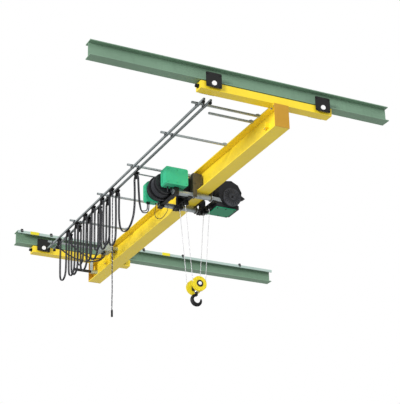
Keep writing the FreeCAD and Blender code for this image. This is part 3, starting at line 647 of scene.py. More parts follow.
def build_strain_wire(line):
    """Thin wire laid round the hanging pendant cable, as its strain relief."""
    sizes = bpy.context.scene.crane_sizes
    low = LOOP_TOP - sizes.pendant_drop + 0.05
    drop = [Vector(p) for p in line if low < p[2] < LOOP_TOP - 0.05 and p[1] < OUTER_YS[0]]
    reach = sizes.cable / 2 + 0.0012
    points = []
    turns = 26
    count = turns * 10
    for k in range(count + 1):
        t = k / count * (len(drop) - 1)
        i = min(int(t), len(drop) - 2)
        at = drop[i].lerp(drop[i + 1], t - i)
        a = math.tau * turns * k / count
        points.append((at.x + reach * math.cos(a), at.y + reach * math.sin(a), at.z))
    data = bpy.data.curves.new("pendant_strain_wire", "CURVE")
    data.dimensions = "3D"
    spline = data.splines.new("POLY")
    spline.points.add(len(points) - 1)
    for point, place in zip(spline.points, points):
        point.co = (*place, 1.0)
    data.bevel_depth = 0.0022
    data.bevel_resolution = 1
    data.use_fill_caps = True
    data.materials.append(material("rope_steel"))
    wire = bpy.data.objects.new("pendant_strain_wire", data)
    bpy.context.scene.collection.objects.link(wire)
    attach(wire, "bridge")


def build_hoist_line():
    """Fixed tails, the six moving loops and the hoist's lead on the inner rail."""
    sizes = bpy.context.scene.crane_sizes
    cabinet_x = CABINET_LOW.x + 0.040
    x = RAIL_IN_X - sizes.pair / 2
    points = list(reversed(tail_route(x, cabinet_x)))
    curve = route_curve("hoist_line_tail_cable", points, sizes.cable)
    curve.data.materials.append(material("cable_rubber"))
    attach(curve, "bridge")
    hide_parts("hoist_line_tail")
    run_length(line_of(points))
    twin = list(reversed(tail_route(RAIL_IN_X + sizes.pair / 2, cabinet_x + 0.022)))
    free_tube("hoist_line_tail_twin", twin, sizes.cable, "bridge")
    stops = SLIDER_YS + (CLAMP_Y,)
    for i in range(6):
        for tag, side in (("a", -1), ("b", 1)):
            build_moving_loop(i, tag, RAIL_IN_X + side * sizes.pair / 2, stops)
    build_hoist_lead()


def build_moving_loop(i, tag, x, stops):
    """Loop between two cable trolleys."""
    sizes = bpy.context.scene.crane_sizes
    y0, y1 = stops[i], stops[i + 1]
    drop = (sizes.loop_drop - 0.05) * (0.93 + 0.05 * math.sin(2.1 * i))
    points = [(x, y0 + 0.004, SADDLE_Z)]
    points.append((x, y0 + 0.046, SADDLE_Z - 0.017))
    points.extend([(x, u, v) for u, v in loop_points(y0 + 0.066, y1 - 0.066, drop)])
    points.append((x, y1 - 0.046, SADDLE_Z - 0.017))
    if i < 5:
        points.append((x, y1 - 0.004, SADDLE_Z))
    else:
        points[-1:] = []
    piece, path = tube_piece("hoist_line_loop_%d%s" % (i + 1, tag), points, sizes.cable)
    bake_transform(piece)


def build_hoist_lead():
    """From the first cable trolley down and up into the drum unit's cover."""
    sizes = bpy.context.scene.crane_sizes
    cover_low, cover_high = span("drum_end_cover")
    foot = cover_low.z
    y = SLIDER_YS[0]
    for tag, side in (("a", -1), ("b", 1)):
        x = RAIL_IN_X + side * sizes.pair / 2
        entry = Vector((cover_low.x + 0.055 + side * 0.012, cover_low.y + 0.06, foot - 0.0008))
        low = -1.0 - 0.012 * side
        points = [
            (x, y - 0.004, SADDLE_Z), (x, y - 0.046, SADDLE_Z - 0.017), (x, y - 0.066, LOOP_TOP),
            (x, y - 0.074, LOOP_TOP - 0.09), (x, y - 0.082, LOOP_TOP - 0.19),
            (x + 0.004, y - 0.086, LOOP_TOP - 0.30), (x + 0.012, y - 0.082, LOOP_TOP - 0.40),
            (x + 0.030, y - 0.066, low + 0.03), (x + 0.062, y - 0.030, low - 0.02),
            (x + 0.110, y + 0.030, low - 0.01), (entry.x - 0.060, entry.y - 0.085, low + 0.06),
            (entry.x - 0.022, entry.y - 0.040, foot - 0.130),
            (entry.x - 0.004, entry.y - 0.010, foot - 0.064),
            tuple(entry),
        ]
        free_tube("hoist_lead_%s" % tag, points, sizes.cable, "hoist_trolley")
    frame_low = span("drum_frame")[0]
    start = Vector((cover_high.x - 0.05, cover_low.y + 0.05, foot - 0.0005))
    end = Vector((frame_low.x + 0.04, DRUM.y + 0.02, TUBE_Z - 0.0305))
    points = [
        tuple(start), (start.x - 0.002, start.y, start.z - 0.045),
        (start.x - 0.016, start.y - 0.012, start.z - 0.11),
        (start.x - 0.035, start.y - 0.030, start.z - 0.19),
        (start.x - 0.028, start.y - 0.055, start.z - 0.255),
        (start.x + 0.015, start.y - 0.085, start.z - 0.285),
        (start.x + 0.060, start.y - 0.110, start.z - 0.262),
        (end.x - 0.012, end.y + 0.010, start.z - 0.195), (end.x - 0.002, end.y + 0.002, start.z - 0.115),
        (end.x, end.y, end.z - 0.045), tuple(end),
    ]
    free_tube("hoist_control_cable", points, sizes.control_cable, "hoist_trolley")


# ---------------------------------------------------------------- hoisting gear
def build_ropes():
    """Four rope falls of six strands."""
    sizes = bpy.context.scene.crane_sizes
    bm = bmesh.new()
    low, high = BLOCK.z, ROPE_HIGH.z
    run = high - low
    top_x = ROPE_HIGH.x - sizes.rope / 2
    low_x = 0.096 + sizes.rope / 2 + 0.0003
    reach_y = (ROPE_HIGH.y - ROPE_LOW.y) / 2 - sizes.rope / 2
    steps = sizes.rope_lay * 12
    for sx in (-1, 1):
        for sy in (-1, 1):
            strand = []
            for k in range(6):
                a = math.tau * k / 6
                matrix = Matrix.Translation((sizes.rope / 3 * math.cos(a), sizes.rope / 3 * math.sin(a), 0))
                made = bmesh.ops.create_circle(bm, cap_ends=True, radius=sizes.rope / 6 * 1.06,
                                               segments=6, matrix=matrix)["verts"]
                strand.extend(made)
            faces = list(dict.fromkeys(f for v in strand for f in v.link_faces))
            edges = list(dict.fromkeys(e for v in strand for e in v.link_edges))
            bmesh.ops.spin(bm, geom=strand + edges + faces, cent=(0, 0, 0), axis=(0, 0, 1),
                           dvec=(0, 0, -run / steps), angle=math.tau * sizes.rope_lay, steps=steps)
            fall = [v for v in bm.verts if not v.tag]
            for v in fall:
                v.tag = True
            lean = Matrix.Identity(4)
            lean[0][2] = sx * (top_x - low_x) / run
            place = Matrix.Translation((sx * top_x, TROLLEY_Y + sy * reach_y, high)) @ lean
            bmesh.ops.transform(bm, matrix=place, verts=fall)
    ropes = finish_piece(bm, "rope_falls", "rope_steel", "hoist_trolley", 60)
    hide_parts("hoist_ropes")
    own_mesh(ropes)
    bm = bmesh.new()
    for sx in (-1, 1):
        for sy in (-1, 1):
            at = Vector((sx * top_x, TROLLEY_Y + sy * reach_y, high + 0.05))
            lean = Vector((sx * (low_x - top_x), 0, -run)).normalized()
            add_cone(bm, at, lean, 0.075, 0.017, 0.009, 20)
            add_cone(bm, at - Z * 0.006, X, 0.028, 0.008, sides=14)
            add_cone(bm, at - Z * 0.006 - X * 0.028, X, 0.028, 0.008, sides=14)
    finish_piece(bm, "rope_sockets", "steel", "hoist_trolley")


def build_hook_block():
    """Grooved sheaves, the rope under them, and the side plates' bolts."""
    sizes = bpy.context.scene.crane_sizes
    low, high = span("block_sheaves")
    radius = (high.x - low.x) / 2
    half = 0.011
    bm = bmesh.new()
    places = (low.y + half, high.y - half)
    for y in places:
        profile = [
            (0.0175, -half), (0.036, -half), (0.036, -half * 0.55), (radius * 0.72, -half * 0.55),
            (radius * 0.80, -half), (radius, -half), (radius, -half * 0.62),
            (radius - sizes.rope * 0.8, -sizes.rope * 0.30), (radius - sizes.rope, 0.0),
            (radius - sizes.rope * 0.8, sizes.rope * 0.30), (radius, half * 0.62), (radius, half),
            (radius * 0.80, half), (radius * 0.72, half * 0.55), (0.036, half * 0.55),
            (0.036, half), (0.0175, half), (0.0175, -half),
        ]
        add_lathe(bm, profile, (BLOCK.x, y, BLOCK.z), Y, 64)
    sheaves = finish_piece(bm, "grooved_sheaves", "steel", "bottom_block", 30)
    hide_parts("block_sheaves")
    bm = bmesh.new()
    for y in places:
        ring = bmesh.ops.create_circle(bm, cap_ends=True, radius=sizes.rope / 2, segments=12,
                                       matrix=Matrix.Translation((BLOCK.x - radius + 0.0005, y, BLOCK.z))
                                       )["verts"]
        faces = list(dict.fromkeys(f for v in ring for f in v.link_faces))
        edges = list(dict.fromkeys(e for v in ring for e in v.link_edges))
        bmesh.ops.spin(bm, geom=ring + edges + faces, cent=(BLOCK.x, y, BLOCK.z), axis=(0, 1, 0),
                       angle=-math.pi, steps=32)
    finish_piece(bm, "rope_under_sheaves", "rope_steel", "bottom_block", 60)
    bm = bmesh.new()
    guard_low, guard_high = span("block_guards")
    reach = (guard_high.x - guard_low.x) / 2
    for side in (-1, 1):
        face = guard_low.y if side < 0 else guard_high.y
        for k in range(6):
            a = math.tau * (k + 0.5) / 6
            at = (BLOCK.x + reach * 0.86 * math.cos(a), face, BLOCK.z + reach * 0.86 * math.sin(a))
            add_bolt(bm, at, (0, side, 0), 0.012)
    finish_piece(bm, "block_bolts", "block_paint", "bottom_block")
    bm = bmesh.new()
    for side in (-1, 1):
        face = guard_low.y if side < 0 else guard_high.y
        add_lathe(bm, [(0.0175, 0.0), (0.052, 0.0), (0.052, 0.004), (0.046, 0.008),
                       (0.0175, 0.008), (0.0175, 0.0)],
                  (BLOCK.x, face, BLOCK.z), (0, side, 0), 48)
    finish_piece(bm, "block_bearing_caps", "black_paint", "bottom_block")
    bm = bmesh.new()
    for side in (-1, 1):
        face = guard_low.y if side < 0 else guard_high.y
        add_cone(bm, (BLOCK.x, face + side * 0.006, BLOCK.z), (0, side, 0), 0.010, 0.028, 0.025, 32)
    finish_piece(bm, "block_axle_caps", "hub_white", "bottom_block")
    bm = bmesh.new()
    add_lathe(bm, [(0.021, 0.0), (0.030, 0.0), (0.034, 0.006), (0.034, 0.020), (0.030, 0.026),
                   (0.021, 0.026), (0.021, 0.0)],
              (BLOCK.x, TROLLEY_Y, BLOCK.z - 0.102), Z, 40)
    finish_piece(bm, "hook_collar", "steel", "hook_body")


def build_drum_details():
    sizes = bpy.context.scene.crane_sizes
    low, high = span("drum_housing")
    radius = 0.165
    x = DRUM.x
    z = DRUM.z
    near = low.y
    far = high.y
    bm = bmesh.new()
    flange_y = far - 0.140
    for k in range(16):
        a = math.tau * k / 16
        add_bolt(bm, (x + 0.180 * math.cos(a), flange_y, z + 0.180 * math.sin(a)), -Y, 0.012)
    for k in range(8):
        a = math.tau * (k + 0.5) / 8
        add_bolt(bm, (x + 0.148 * math.cos(a), near + 0.018, z + 0.148 * math.sin(a)), -Y, 0.014)
    finish_piece(bm, "drum_bolts", "housing_paint", "hoist_trolley")
    bm = bmesh.new()
    for place in (0.115, 0.150, 0.185, 0.285, 0.315):
        add_lathe(bm, [(radius - 0.003, -0.006), (radius + 0.006, -0.004), (radius + 0.006, 0.004),
                       (radius - 0.003, 0.006), (radius - 0.003, -0.006)],
                  (x, near + place, z), Y, 96)
    add_lathe(bm, [(0.020, -0.004), (0.060, -0.004), (0.066, 0.002), (0.066, 0.006), (0.020, 0.006),
                   (0.020, -0.004)], (x, near - 0.003, z), Y, 64)
    finish_piece(bm, "drum_ribs", "motor_paint", "hoist_trolley")
    cover_low, cover_high = span("drum_end_cover")
    bm = bmesh.new()
    for cx in (cover_low.x + 0.035, cover_high.x - 0.035):
        for cz in (cover_low.z + 0.035, cover_high.z - 0.035):
            add_bolt(bm, (cx, cover_high.y, cz), Y, sizes.screw)
    for k in range(3):
        add_bolt(bm, (cover_low.x, cover_low.y + 0.06, cover_low.z + 0.09 + 0.07 * k), -X, sizes.screw)
    finish_piece(bm, "cover_screws", "hoist_paint", "hoist_trolley")
    bm = bmesh.new()
    for k in range(7):
        at = cover_low.z + 0.080 + 0.026 * k
        add_block(bm, (cover_low.x + 0.05, cover_high.y - 0.001, at),
                  (cover_high.x - 0.05, cover_high.y + 0.003, at + 0.010), 0.0025)
    finish_piece(bm, "cover_louvres", "housing_paint", "hoist_trolley")
    bm = bmesh.new()
    for name, px, py in (("lead", cover_low.x + 0.055, cover_low.y + 0.06),
                         ("control", cover_high.x - 0.05, cover_low.y + 0.05)):
        reach = 0.021 if name == "lead" else 0.009
        for dx in ((-0.012, 0.012) if name == "lead" else (0.0,)):
            add_lathe(bm, [(reach * 0.42, 0.0), (reach * 0.9, 0.0), (reach * 0.9, 0.012),
                           (reach * 0.7, 0.016), (reach * 0.62, 0.030), (reach * 0.42, 0.030),
                           (reach * 0.42, 0.0)],
                      (px + dx, py, cover_low.z), -Z, 24)
    finish_piece(bm, "hoist_glands", "black_rubber", "hoist_trolley")


def build_control_box():
    """Lid seam, screws and the cable glands of the hoist's control box."""
    sizes = bpy.context.scene.crane_sizes
    low, high = span("control_box")
    bm = bmesh.new()
    inset = 0.036
    for px in (low.x + inset, (low.x + high.x) / 2, high.x - inset):
        for pz in (low.z + inset, high.z - inset):
            add_bolt(bm, (px, low.y, pz), -Y, sizes.screw)
    finish_piece(bm, "control_box_screws", "hoist_paint", "hoist_trolley")
    bm = bmesh.new()
    seam = high.y - 0.055
    for z0, z1, x0, x1 in ((low.z - 0.002, low.z + 0.002, low.x + 0.03, high.x - 0.03),
                           (high.z - 0.002, high.z + 0.002, low.x + 0.03, high.x - 0.03)):
        add_block(bm, (x0, seam, z0), (x1, seam + 0.006, z1), 0.001)
    for x0, x1 in ((low.x - 0.002, low.x + 0.002), (high.x - 0.002, high.x + 0.002)):
        add_block(bm, (x0, seam, low.z + 0.03), (x1, seam + 0.006, high.z - 0.03), 0.001)
    finish_piece(bm, "control_box_seal", "black_rubber", "hoist_trolley")
    bm = bmesh.new()
    for k in range(4):
        px = low.x + 0.09 + 0.055 * k
        add_lathe(bm, [(0.004, 0.0), (0.014, 0.0), (0.014, 0.010), (0.010, 0.014), (0.010, 0.026),
                       (0.004, 0.026), (0.004, 0.0)], (px, high.y - 0.045, low.z), -Z, 20)
    finish_piece(bm, "control_box_glands", "black_rubber", "hoist_trolley")
    for k in range(2):
        px = low.x + 0.09 + 0.055 * k
        start = Vector((px, high.y - 0.045, low.z - 0.012))
        end = Vector((px + 0.015, DRUM.y - 0.188, DRUM.z - 0.10))
        points = [
            tuple(start), (start.x, start.y, start.z - 0.035),
            (start.x + 0.004, start.y + 0.003, start.z - 0.060),
            (end.x - 0.004, end.y - 0.016, start.z - 0.052), (end.x, end.y - 0.012, end.z - 0.002),
            (end.x, end.y + 0.006, end.z + 0.012),
        ]
        piece, path = tube_piece("box_cable_%d" % (k + 1), points, sizes.control_cable)
        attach(piece, "hoist_trolley")


def build_motor_details():
    """Fan cover slots, ring bolts and the tray's screws of the motor unit."""
    sizes = bpy.context.scene.crane_sizes
    low, high = span("brake_cover")
    x = (low.x + high.x) / 2
    z = (low.z + high.z) / 2
    rim = (high.x - low.x) / 2
    face = low.y + 0.014
    bm = bmesh.new()
    for k in range(sizes.fins):
        a = math.tau * k / sizes.fins
        direction = Vector((math.cos(a), 0, math.sin(a)))
        start = Vector((x, face - 0.0035, z)) + direction * 0.062
        add_cone(bm, start, direction, 0.060, 0.0045, sides=8)
    finish_piece(bm, "fan_cover_ribs", "housing_paint", "hoist_trolley")
    bm = bmesh.new()
    for k in range(6):
        a = math.tau * (k + 0.5) / 6
        add_bolt(bm, (x + (rim - 0.012) * math.cos(a), face, z + (rim - 0.012) * math.sin(a)), -Y, 0.011)
    add_bolt(bm, (x, low.y, z), -Y, 0.022)
    for k in range(4):
        a = math.tau * (k + 0.5) / 4
        add_bolt(bm, (x + 0.034 * math.cos(a), low.y, z + 0.034 * math.sin(a)), -Y, 0.009)
    tray_low, tray_high = span("motor_cover")
    for px in (tray_low.x + 0.024, (tray_low.x + tray_high.x) / 2, tray_high.x - 0.024):
        for py in (tray_low.y + 0.024, tray_high.y - 0.024):
            add_bolt(bm, (px, py, tray_low.z), -Z, sizes.screw)
    finish_piece(bm, "motor_bolts", "housing_paint", "hoist_trolley")
    gear_low = span("gear_housing")[0]
    bm = bmesh.new()
    for k in range(10):
        a = math.radians(36 * k + 10)
        at = (MOTOR_X + 0.186 * math.cos(a), gear_low.y, MOTOR_Z + 0.186 * math.sin(a))
        outside = math.hypot(at[0] - x, at[2] - z) > rim + 0.010
        if outside:
            add_bolt(bm, at, -Y, 0.014)
    finish_piece(bm, "gear_case_bolts", "housing_paint", "hoist_trolley")
    bm = bmesh.new()
    for place in (0.150, 0.170, 0.190, 0.210, 0.230):
        add_lathe(bm, [(0.186, -0.003), (0.197, -0.002), (0.197, 0.002), (0.186, 0.003),
                       (0.186, -0.003)], (MOTOR_X, gear_low.y + place, MOTOR_Z), Y, 96)
    finish_piece(bm, "motor_fins", "housing_paint", "hoist_trolley")


def build_trolley_details():
    """Collars on the cross tubes, axle nuts and end frame bolts of the trolley."""
    outer = span("trolley_cheeks")[1].x
    tube_low, tube_high = span("cross_tubes")
    radius = (tube_high.z - tube_low.z) / 2
    spread = (tube_high.y - tube_low.y) / 2 - radius
    bm = bmesh.new()
    for side in (-1, 1):
        for v in (-1, 1):
            add_lathe(bm, [(radius + 0.0004, 0.0), (radius + 0.011, 0.0), (radius + 0.012, 0.002),
                           (radius + 0.012, 0.013), (radius + 0.0004, 0.014),
                           (radius + 0.0004, 0.0)],
                      (side * outer, TROLLEY_Y + v * spread, TUBE_Z), (side, 0, 0), 48)
    finish_piece(bm, "tube_collars", "zinc", "hoist_trolley")
    bm = bmesh.new()
    wheel_z = middle("trolley_front_wheels").z
    for node_name in ("trolley_front_wheels", "trolley_rear_wheels"):
        y = middle(node_name).y
        for side in (-1, 1):
            add_stud(bm, (side * outer, y, wheel_z), (side, 0, 0), 0.034, 0.012)
    frame_low, frame_high = span("trolley_end_frame")
    for pz in (frame_low.z + 0.03, frame_high.z - 0.03, frame_high.z - 0.16):
        add_bolt(bm, (frame_low.x + 0.022, frame_low.y, pz), -Y, 0.016)
    for pz in (frame_high.z - 0.03, frame_high.z - 0.16):
        add_bolt(bm, (frame_high.x - 0.022, frame_low.y, pz), -Y, 0.016)
    for side in (-1, 1):
        x = side * 0.2
        for v in (-1, 1):
            for dx in (-0.024, 0.024):
                add_bolt(bm, (x + dx, TROLLEY_Y + v * (spread + 0.020), TUBE_Z - radius - 0.017), -Z, 0.012)
    finish_piece(bm, "trolley_bolts", "plate_paint", "hoist_trolley")


# -------------------------------------------------------------- bridge and runway
def build_bridge_bolts():
    """Structural bolts of the carriages, arms, clamps, stops and cabinet."""
    sizes = bpy.context.scene.crane_sizes
    bm = bmesh.new()
    for y in (0.0, SPAN):
        for sx in (-1, 1):
            for dy in (-0.045, 0.045):
                add_bolt(bm, (sx * 0.078, y + dy, GIRDER_TOP - 0.014), -Z, sizes.bolt)
    finish_piece(bm, "girder_bolts", "steel", "bridge")
    bm = bmesh.new()
    for tag, y in (("near", 0.0), ("far", SPAN)):
        for side in ("left", "right"):
            wheels = middle("%s_%s_wheels" % (tag, side))
            for v in (-1, 1):
                face = y + v * 0.113
                for dx in (-0.092, 0.092):
                    for pz in (-0.130, -0.298):
                        add_bolt(bm, (wheels.x + dx, face, pz), (0, v, 0), 0.014)
    finish_piece(bm, "truck_bolts", "black_paint", "bridge")
    bm = bmesh.new()
    for y in (*ARM_YS, SHORT_ARM_Y):
        for dy in (-0.017, 0.017):
            add_bolt(bm, (-GIRDER_HALF - 0.030, y + dy, GIRDER_TOP + 0.006), Z, 0.013)
            add_bolt(bm, (-GIRDER_HALF + 0.030, y + dy, GIRDER_TOP + 0.006), Z, 0.013)
    finish_piece(bm, "arm_clip_bolts", "steel", "bridge")
    bm = bmesh.new()
    for y in ARM_YS:
        for x in (RAIL_OUT_X, RAIL_IN_X):
            for dy in (-0.021, 0.021):
                add_bolt(bm, (x + 0.024, y + dy, GIRDER_TOP - 0.036), X, 0.010)
                add_bolt(bm, (x - 0.024, y + dy, GIRDER_TOP - 0.036), -X, 0.010)
    finish_piece(bm, "rail_clamp_bolts", "steel", "bridge")
    bm = bmesh.new()
    stop_low = span("girder_end_stops")[0]
    for y in (0.25, SPAN - 0.55):
        for side in (-1, 1):
            add_bolt(bm, (side * 0.044, y + 0.05, stop_low.z), -Z, 0.014)
    plate_low, plate_high = span("far_arm_plate")
    for dy in (0.02, 0.095):
        for pz in (plate_high.z - 0.02, plate_high.z - 0.12):
            add_bolt(bm, (plate_low.x, plate_low.y + dy, pz), -X, 0.012)
    finish_piece(bm, "stop_bolts", "steel", "bridge")


def build_weld_seams():
    """Fillet beads of the end plates and the carriages' corner seams."""
    sizes = bpy.context.scene.crane_sizes
    bm = bmesh.new()
    web = 0.0045
    for y, inward in ((GIRDER_LOW.y, 1), (GIRDER_HIGH.y, -1)):
        at = y + inward * sizes.bead * 0.2
        for side in (-1, 1):
            add_bead(bm, (side * (web + 0.002), at, GIRDER_FOOT + 0.016),
                     (side * (web + 0.002), at, GIRDER_TOP - 0.016), sizes.bead)
            add_bead(bm, (side * 0.010, at, GIRDER_FOOT + 0.0155),
                     (side * (GIRDER_HALF - 0.004), at, GIRDER_FOOT + 0.0155), sizes.bead)
            add_bead(bm, (side * 0.010, at, GIRDER_TOP - 0.0155),
                     (side * (GIRDER_HALF - 0.004), at, GIRDER_TOP - 0.0155), sizes.bead)
    for name in ("near_end_carriage", "far_end_carriage"):
        low, high = span(name)
        for side in (-1, 1):
            y = (low.y + high.y) / 2 + side * 0.060
            add_bead(bm, (-GIRDER_HALF - 0.002, y, low.z - 0.001),
                     (-GIRDER_HALF - 0.002, y - side * 0.110, low.z - 0.001),
                     sizes.bead * 0.8)
    finish_piece(bm, "weld_seams", "crane_paint", "bridge", 50)


def build_cabinet():
    """Hinges, lock, vents and glands of the control cabinet."""
    low, high = CABINET_LOW, CABINET_HIGH
    bm = bmesh.new()
    for k in range(6):
        z = low.z + 0.022 + 0.017 * k
        add_block(bm, (low.x + 0.03, low.y - 0.003, z), (high.x - 0.03, low.y + 0.001, z + 0.006), 0.0012)
        add_block(bm, (low.x - 0.003, low.y + 0.03, z), (low.x + 0.001, high.y - 0.03, z + 0.006), 0.0012)
    finish_piece(bm, "cabinet_louvres", "cabinet_paint", "bridge")
    bm = bmesh.new()
    for dy in (0.04, (high.y - low.y) - 0.04):
        add_cone(bm, (low.x - 0.004, low.y + dy, high.z - 0.040), Z, 0.026, 0.005, sides=14)
        add_cone(bm, (low.x - 0.004, low.y + dy, low.z + 0.014), Z, 0.026, 0.005, sides=14)
    add_bolt(bm, (high.x - 0.018, low.y, (low.z + high.z) / 2), -Y, 0.012)
    finish_piece(bm, "cabinet_fittings", "steel", "bridge")
    bm = bmesh.new()
    for py in (high.y - 0.070, low.y + 0.070):
        for dx in (0.0, 0.022):
            add_lathe(bm, [(0.0085, 0.0), (0.0128, 0.0), (0.0128, 0.010), (0.0105, 0.014),
                           (0.0100, 0.030), (0.0085, 0.030), (0.0085, 0.0)],
                      (low.x + 0.068 + dx, py, low.z), -Z, 24)
    finish_piece(bm, "cabinet_glands", "black_rubber", "bridge")


def build_festoon_fittings():
    """Saddle bolts, bump rubbers and rail end stops of the cable trolleys."""
    def trolley(bm_bolts, bm_rubber, x, y, half):
        for side in (-1, 1):
            for dy in (-0.016, 0.016):
                add_bolt(bm_bolts, (x + side * 0.018, y + dy, RAIL_FOOT - 0.034), (side, 0, 0), 0.008)
        for v in (-1, 1):
            add_cone(bm_rubber, (x, y + v * half, RAIL_FOOT - 0.027), (0, v, 0), 0.012, 0.010, 0.007, 16)

    for i, y in enumerate(SLIDER_YS):
        bolts, rubbers = bmesh.new(), bmesh.new()
        trolley(bolts, rubbers, RAIL_IN_X, y, 0.045)
        body = "cable_slider_%d" % (i + 1)
        finish_piece(bolts, "slider_bolts_%d" % (i + 1), "steel", body)
        finish_piece(rubbers, "slider_bumpers_%d" % (i + 1), "black_rubber", body)
    bolts, rubbers = bmesh.new(), bmesh.new()
    trolley(bolts, rubbers, RAIL_IN_X, CLAMP_Y, 0.045)
    for i, y in enumerate(OUTER_YS):
        trolley(bolts, rubbers, RAIL_OUT_X, y, 0.060 if i == 0 else 0.045)
    finish_piece(bolts, "fixed_trolley_bolts", "steel", "bridge")
    for x in (RAIL_IN_X, RAIL_OUT_X):
        rail_low, rail_high = span("festoon_rail_inner")
        for y in (rail_low.y + 0.03, rail_high.y - 0.03):
            add_block(rubbers, (x - 0.020, y - 0.018, RAIL_FOOT - 0.034),
                      (x + 0.020, y + 0.018, RAIL_FOOT - 0.002), 0.005)
    add_cone(rubbers, (RAIL_IN_X - 0.026, 5.80, RAIL_FOOT - 0.022), X, 0.052, 0.026, sides=24)
    add_block(rubbers, (RAIL_OUT_X - 0.004, OUTER_YS[0] - 0.030, SADDLE_Z - 0.002),
              (RAIL_OUT_X + 0.022, OUTER_YS[0] + 0.012, RAIL_FOOT - 0.036), 0.004)
    finish_piece(rubbers, "fixed_trolley_bumpers", "black_rubber", "bridge")


def build_runway_details():
    """Bolts of the conductor line's hangers."""
    bm = bmesh.new()
    hanger_low = span("conductor_rail_hangers")[0]
    for x in HANGER_XS:
        add_bolt(bm, (x, SPAN - 0.062, 0.014), Z, 0.010)
        add_bolt(bm, (x, hanger_low.y, -0.012), -Y, 0.010)
    finish_piece(bm, "hanger_bolts", "steel", "runway")


# ---------------------------------------------------------------------- stage
CAMERA_PLACE = (-7.950, -13.148, -8.364)
CAMERA_YAW = 27.130
CAMERA_PITCH = 23.486
CAMERA_ROLL = -1.368
CAMERA_LENS = 115.47
FLOOR_Z = -16.0


def pale_floor_material():
    made = bpy.data.materials.new("Pale floor")
    made.use_nodes = True
    shader = made.node_tree.nodes["Principled BSDF"]
    shader.inputs["Base Color"].default_value = (0.92, 0.92, 0.91, 1.0)
    shader.inputs["Roughness"].default_value = 0.9
    return made


def build_stage():
    scene = bpy.context.scene
    yaw, pitch, roll = (math.radians(v) for v in (CAMERA_YAW, CAMERA_PITCH, CAMERA_ROLL))
    ahead = Vector((math.sin(yaw) * math.cos(pitch), math.cos(yaw) * math.cos(pitch), math.sin(pitch)))
    level = Vector((math.cos(yaw), -math.sin(yaw), 0))
    up = level.cross(ahead)
    right = math.cos(roll) * level + math.sin(roll) * up
    top = -math.sin(roll) * level + math.cos(roll) * up
    data = bpy.data.cameras.new("crane_camera")
    data.sensor_fit = "HORIZONTAL"
    data.sensor_width = 36.0
    data.lens = CAMERA_LENS
    data.clip_end = 500.0
    camera = bpy.data.objects.new("crane_camera", data)
    matrix = Matrix((right, top, -ahead)).transposed().to_4x4()
    matrix.translation = Vector(CAMERA_PLACE)
    camera.matrix_world = matrix
    scene.collection.objects.link(camera)
    scene.camera = camera

    bm = bmesh.new()
    bmesh.ops.create_grid(bm, x_segments=1, y_segments=1, size=120.0,
                          matrix=Matrix.Translation((0, 3.0, FLOOR_Z)))
    mesh = bpy.data.meshes.new("pale_floor")
    bm.to_mesh(mesh)
    bm.free()
    mesh.materials.append(pale_floor_material())
    floor = bpy.data.objects.new("pale_floor", mesh)
    scene.collection.objects.link(floor)

    world = bpy.data.worlds.new("white_studio")
    world.use_nodes = True
    tree = world.node_tree
    background = tree.nodes["Background"]
    background.inputs["Color"].default_value = (1.0, 1.0, 1.0, 1.0)
    background.inputs["Strength"].default_value = 0.35
    seen = tree.nodes.new("ShaderNodeBackground")
    seen.inputs["Color"].default_value = (1.0, 1.0, 1.0, 1.0)
    seen.inputs["Strength"].default_value = 1.0
    path = tree.nodes.new("ShaderNodeLightPath")
    mix = tree.nodes.new("ShaderNodeMixShader")
    tree.links.new(path.outputs["Is Camera Ray"], mix.inputs[0])
    tree.links.new(background.outputs["Background"], mix.inputs[1])
    tree.links.new(seen.outputs["Background"], mix.inputs[2])
    tree.links.new(mix.outputs["Shader"], tree.nodes["World Output"].inputs["Surface"])
    scene.world = world

    add_sun("key_light", (0.88, 0.46, -0.10), 3.0, 16.0)
    add_sun("fill_light", (0.05, 0.70, -0.70), 0.9, 40.0)
    scene.view_settings.view_transform = "Standard"
    scene.view_settings.look = "None"


def add_sun(name, direction, strength, angle):
    data = bpy.data.lights.new(name, "SUN")
    data.energy = strength
    data.angle = math.radians(angle)
    light = bpy.data.objects.new(name, data)
    light.matrix_world = (-Z).rotation_difference(Vector(direction)).to_matrix().to_4x4()
    bpy.context.scene.collection.objects.link(light)


# ------------------------------------------------------------------ operators
def build_finishes():
    for key, made in make_materials().items():
        MATERIAL_NAMES[key] = made.name
    for key, names in NODE_FINISH.items():
        for name in names:
            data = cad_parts[name].data
            data.materials.clear()
            data.materials.append(material(key))


class CRANE_OT_finishes(Operator):
    """Paint, metal and rubber on every part of the frame"""
    bl_idname = "crane.finishes"
    bl_label = "Finishes"

    def execute(self, context):
        build_finishes()
        return {"FINISHED"}


class CRANE_OT_pendant_line(Operator):
    """Pendant cable with its loops on the outer rail"""
    bl_idname = "crane.pendant_line"
    bl_label = "Pendant line"

    def execute(self, context):
        build_pendant_line()
        return {"FINISHED"}


class CRANE_OT_hoist_line(Operator):
    """Supply cables of the hoist with their moving loops on the inner rail"""
    bl_idname = "crane.hoist_line"
    bl_label = "Hoist supply line"

    def execute(self, context):
        build_hoist_line()
        return {"FINISHED"}


class CRANE_OT_ropes(Operator):
    """Wire rope falls and their sockets"""
    bl_idname = "crane.ropes"
    bl_label = "Wire ropes"

    def execute(self, context):
        build_ropes()
        return {"FINISHED"}


class CRANE_OT_hook_block(Operator):
    """Grooved sheaves, rope under them and bolts of the hook block"""
    bl_idname = "crane.hook_block"
    bl_label = "Hook block"

    def execute(self, context):
        build_hook_block()
        return {"FINISHED"}


class CRANE_OT_hoist_details(Operator):
    """Bolts, ribs, covers and glands of the hoist's units"""
    bl_idname = "crane.hoist_details"
    bl_label = "Hoist details"

    def execute(self, context):
        build_drum_details()
        build_control_box()
        build_motor_details()
        build_trolley_details()
        return {"FINISHED"}


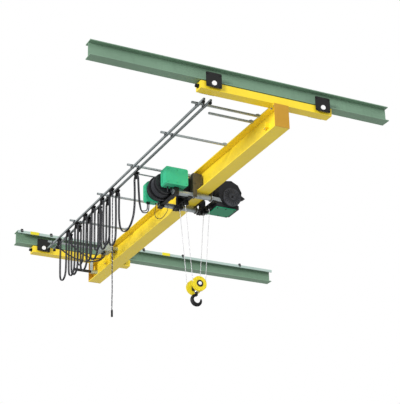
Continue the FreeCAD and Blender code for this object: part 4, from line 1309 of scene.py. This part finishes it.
class CRANE_OT_bridge_details(Operator):
    """Bolts, weld seams and cabinet fittings of the bridge"""
    bl_idname = "crane.bridge_details"
    bl_label = "Bridge details"

    def execute(self, context):
        build_bridge_bolts()
        build_weld_seams()
        build_cabinet()
        return {"FINISHED"}


class CRANE_OT_festoon_fittings(Operator):
    """Bolts, bumpers and end stops of the cable trolleys and rails"""
    bl_idname = "crane.festoon_fittings"
    bl_label = "Cable trolley fittings"

    def execute(self, context):
        build_festoon_fittings()
        return {"FINISHED"}


class CRANE_OT_runway_details(Operator):
    """Bolts of the conductor line on the runway"""
    bl_idname = "crane.runway_details"
    bl_label = "Runway details"

    def execute(self, context):
        build_runway_details()
        return {"FINISHED"}


class CRANE_OT_stage(Operator):
    """Camera, lights, background and floor"""
    bl_idname = "crane.stage"
    bl_label = "Stage"

    def execute(self, context):
        build_stage()
        return {"FINISHED"}


class CRANE_PT_panel(Panel):
    """Sizes, colours and building steps of the crane"""
    bl_idname = "CRANE_PT_panel"
    bl_label = "Bridge crane"
    bl_space_type = "VIEW_3D"
    bl_region_type = "UI"
    bl_category = "Crane"

    def draw(self, context):
        layout = self.layout
        for group in (context.scene.crane_sizes, context.scene.crane_colours):
            column = layout.column(align=True)
            for name in group.__annotations__:
                column.prop(group, name)
        for step in STEPS:
            layout.operator(step.bl_idname)


STEPS = (
    CRANE_OT_finishes,
    CRANE_OT_stage,
    CRANE_OT_pendant_line,
    CRANE_OT_hoist_line,
    CRANE_OT_ropes,
    CRANE_OT_hook_block,
    CRANE_OT_hoist_details,
    CRANE_OT_bridge_details,
    CRANE_OT_festoon_fittings,
    CRANE_OT_runway_details,
)
CLASSES = (CraneSizes, CraneColours, *STEPS, CRANE_PT_panel)


def register():
    for cls in CLASSES:
        bpy.utils.register_class(cls)
    bpy.types.Scene.crane_sizes = PointerProperty(type=CraneSizes)
    bpy.types.Scene.crane_colours = PointerProperty(type=CraneColours)


def unregister():
    del bpy.types.Scene.crane_colours
    del bpy.types.Scene.crane_sizes
    for cls in reversed(CLASSES):
        bpy.utils.unregister_class(cls)


def main():
    register()
    for step in STEPS:
        group, name = step.bl_idname.split(".")
        getattr(getattr(bpy.ops, group), name)()


if __name__ == "__main__":
    main()
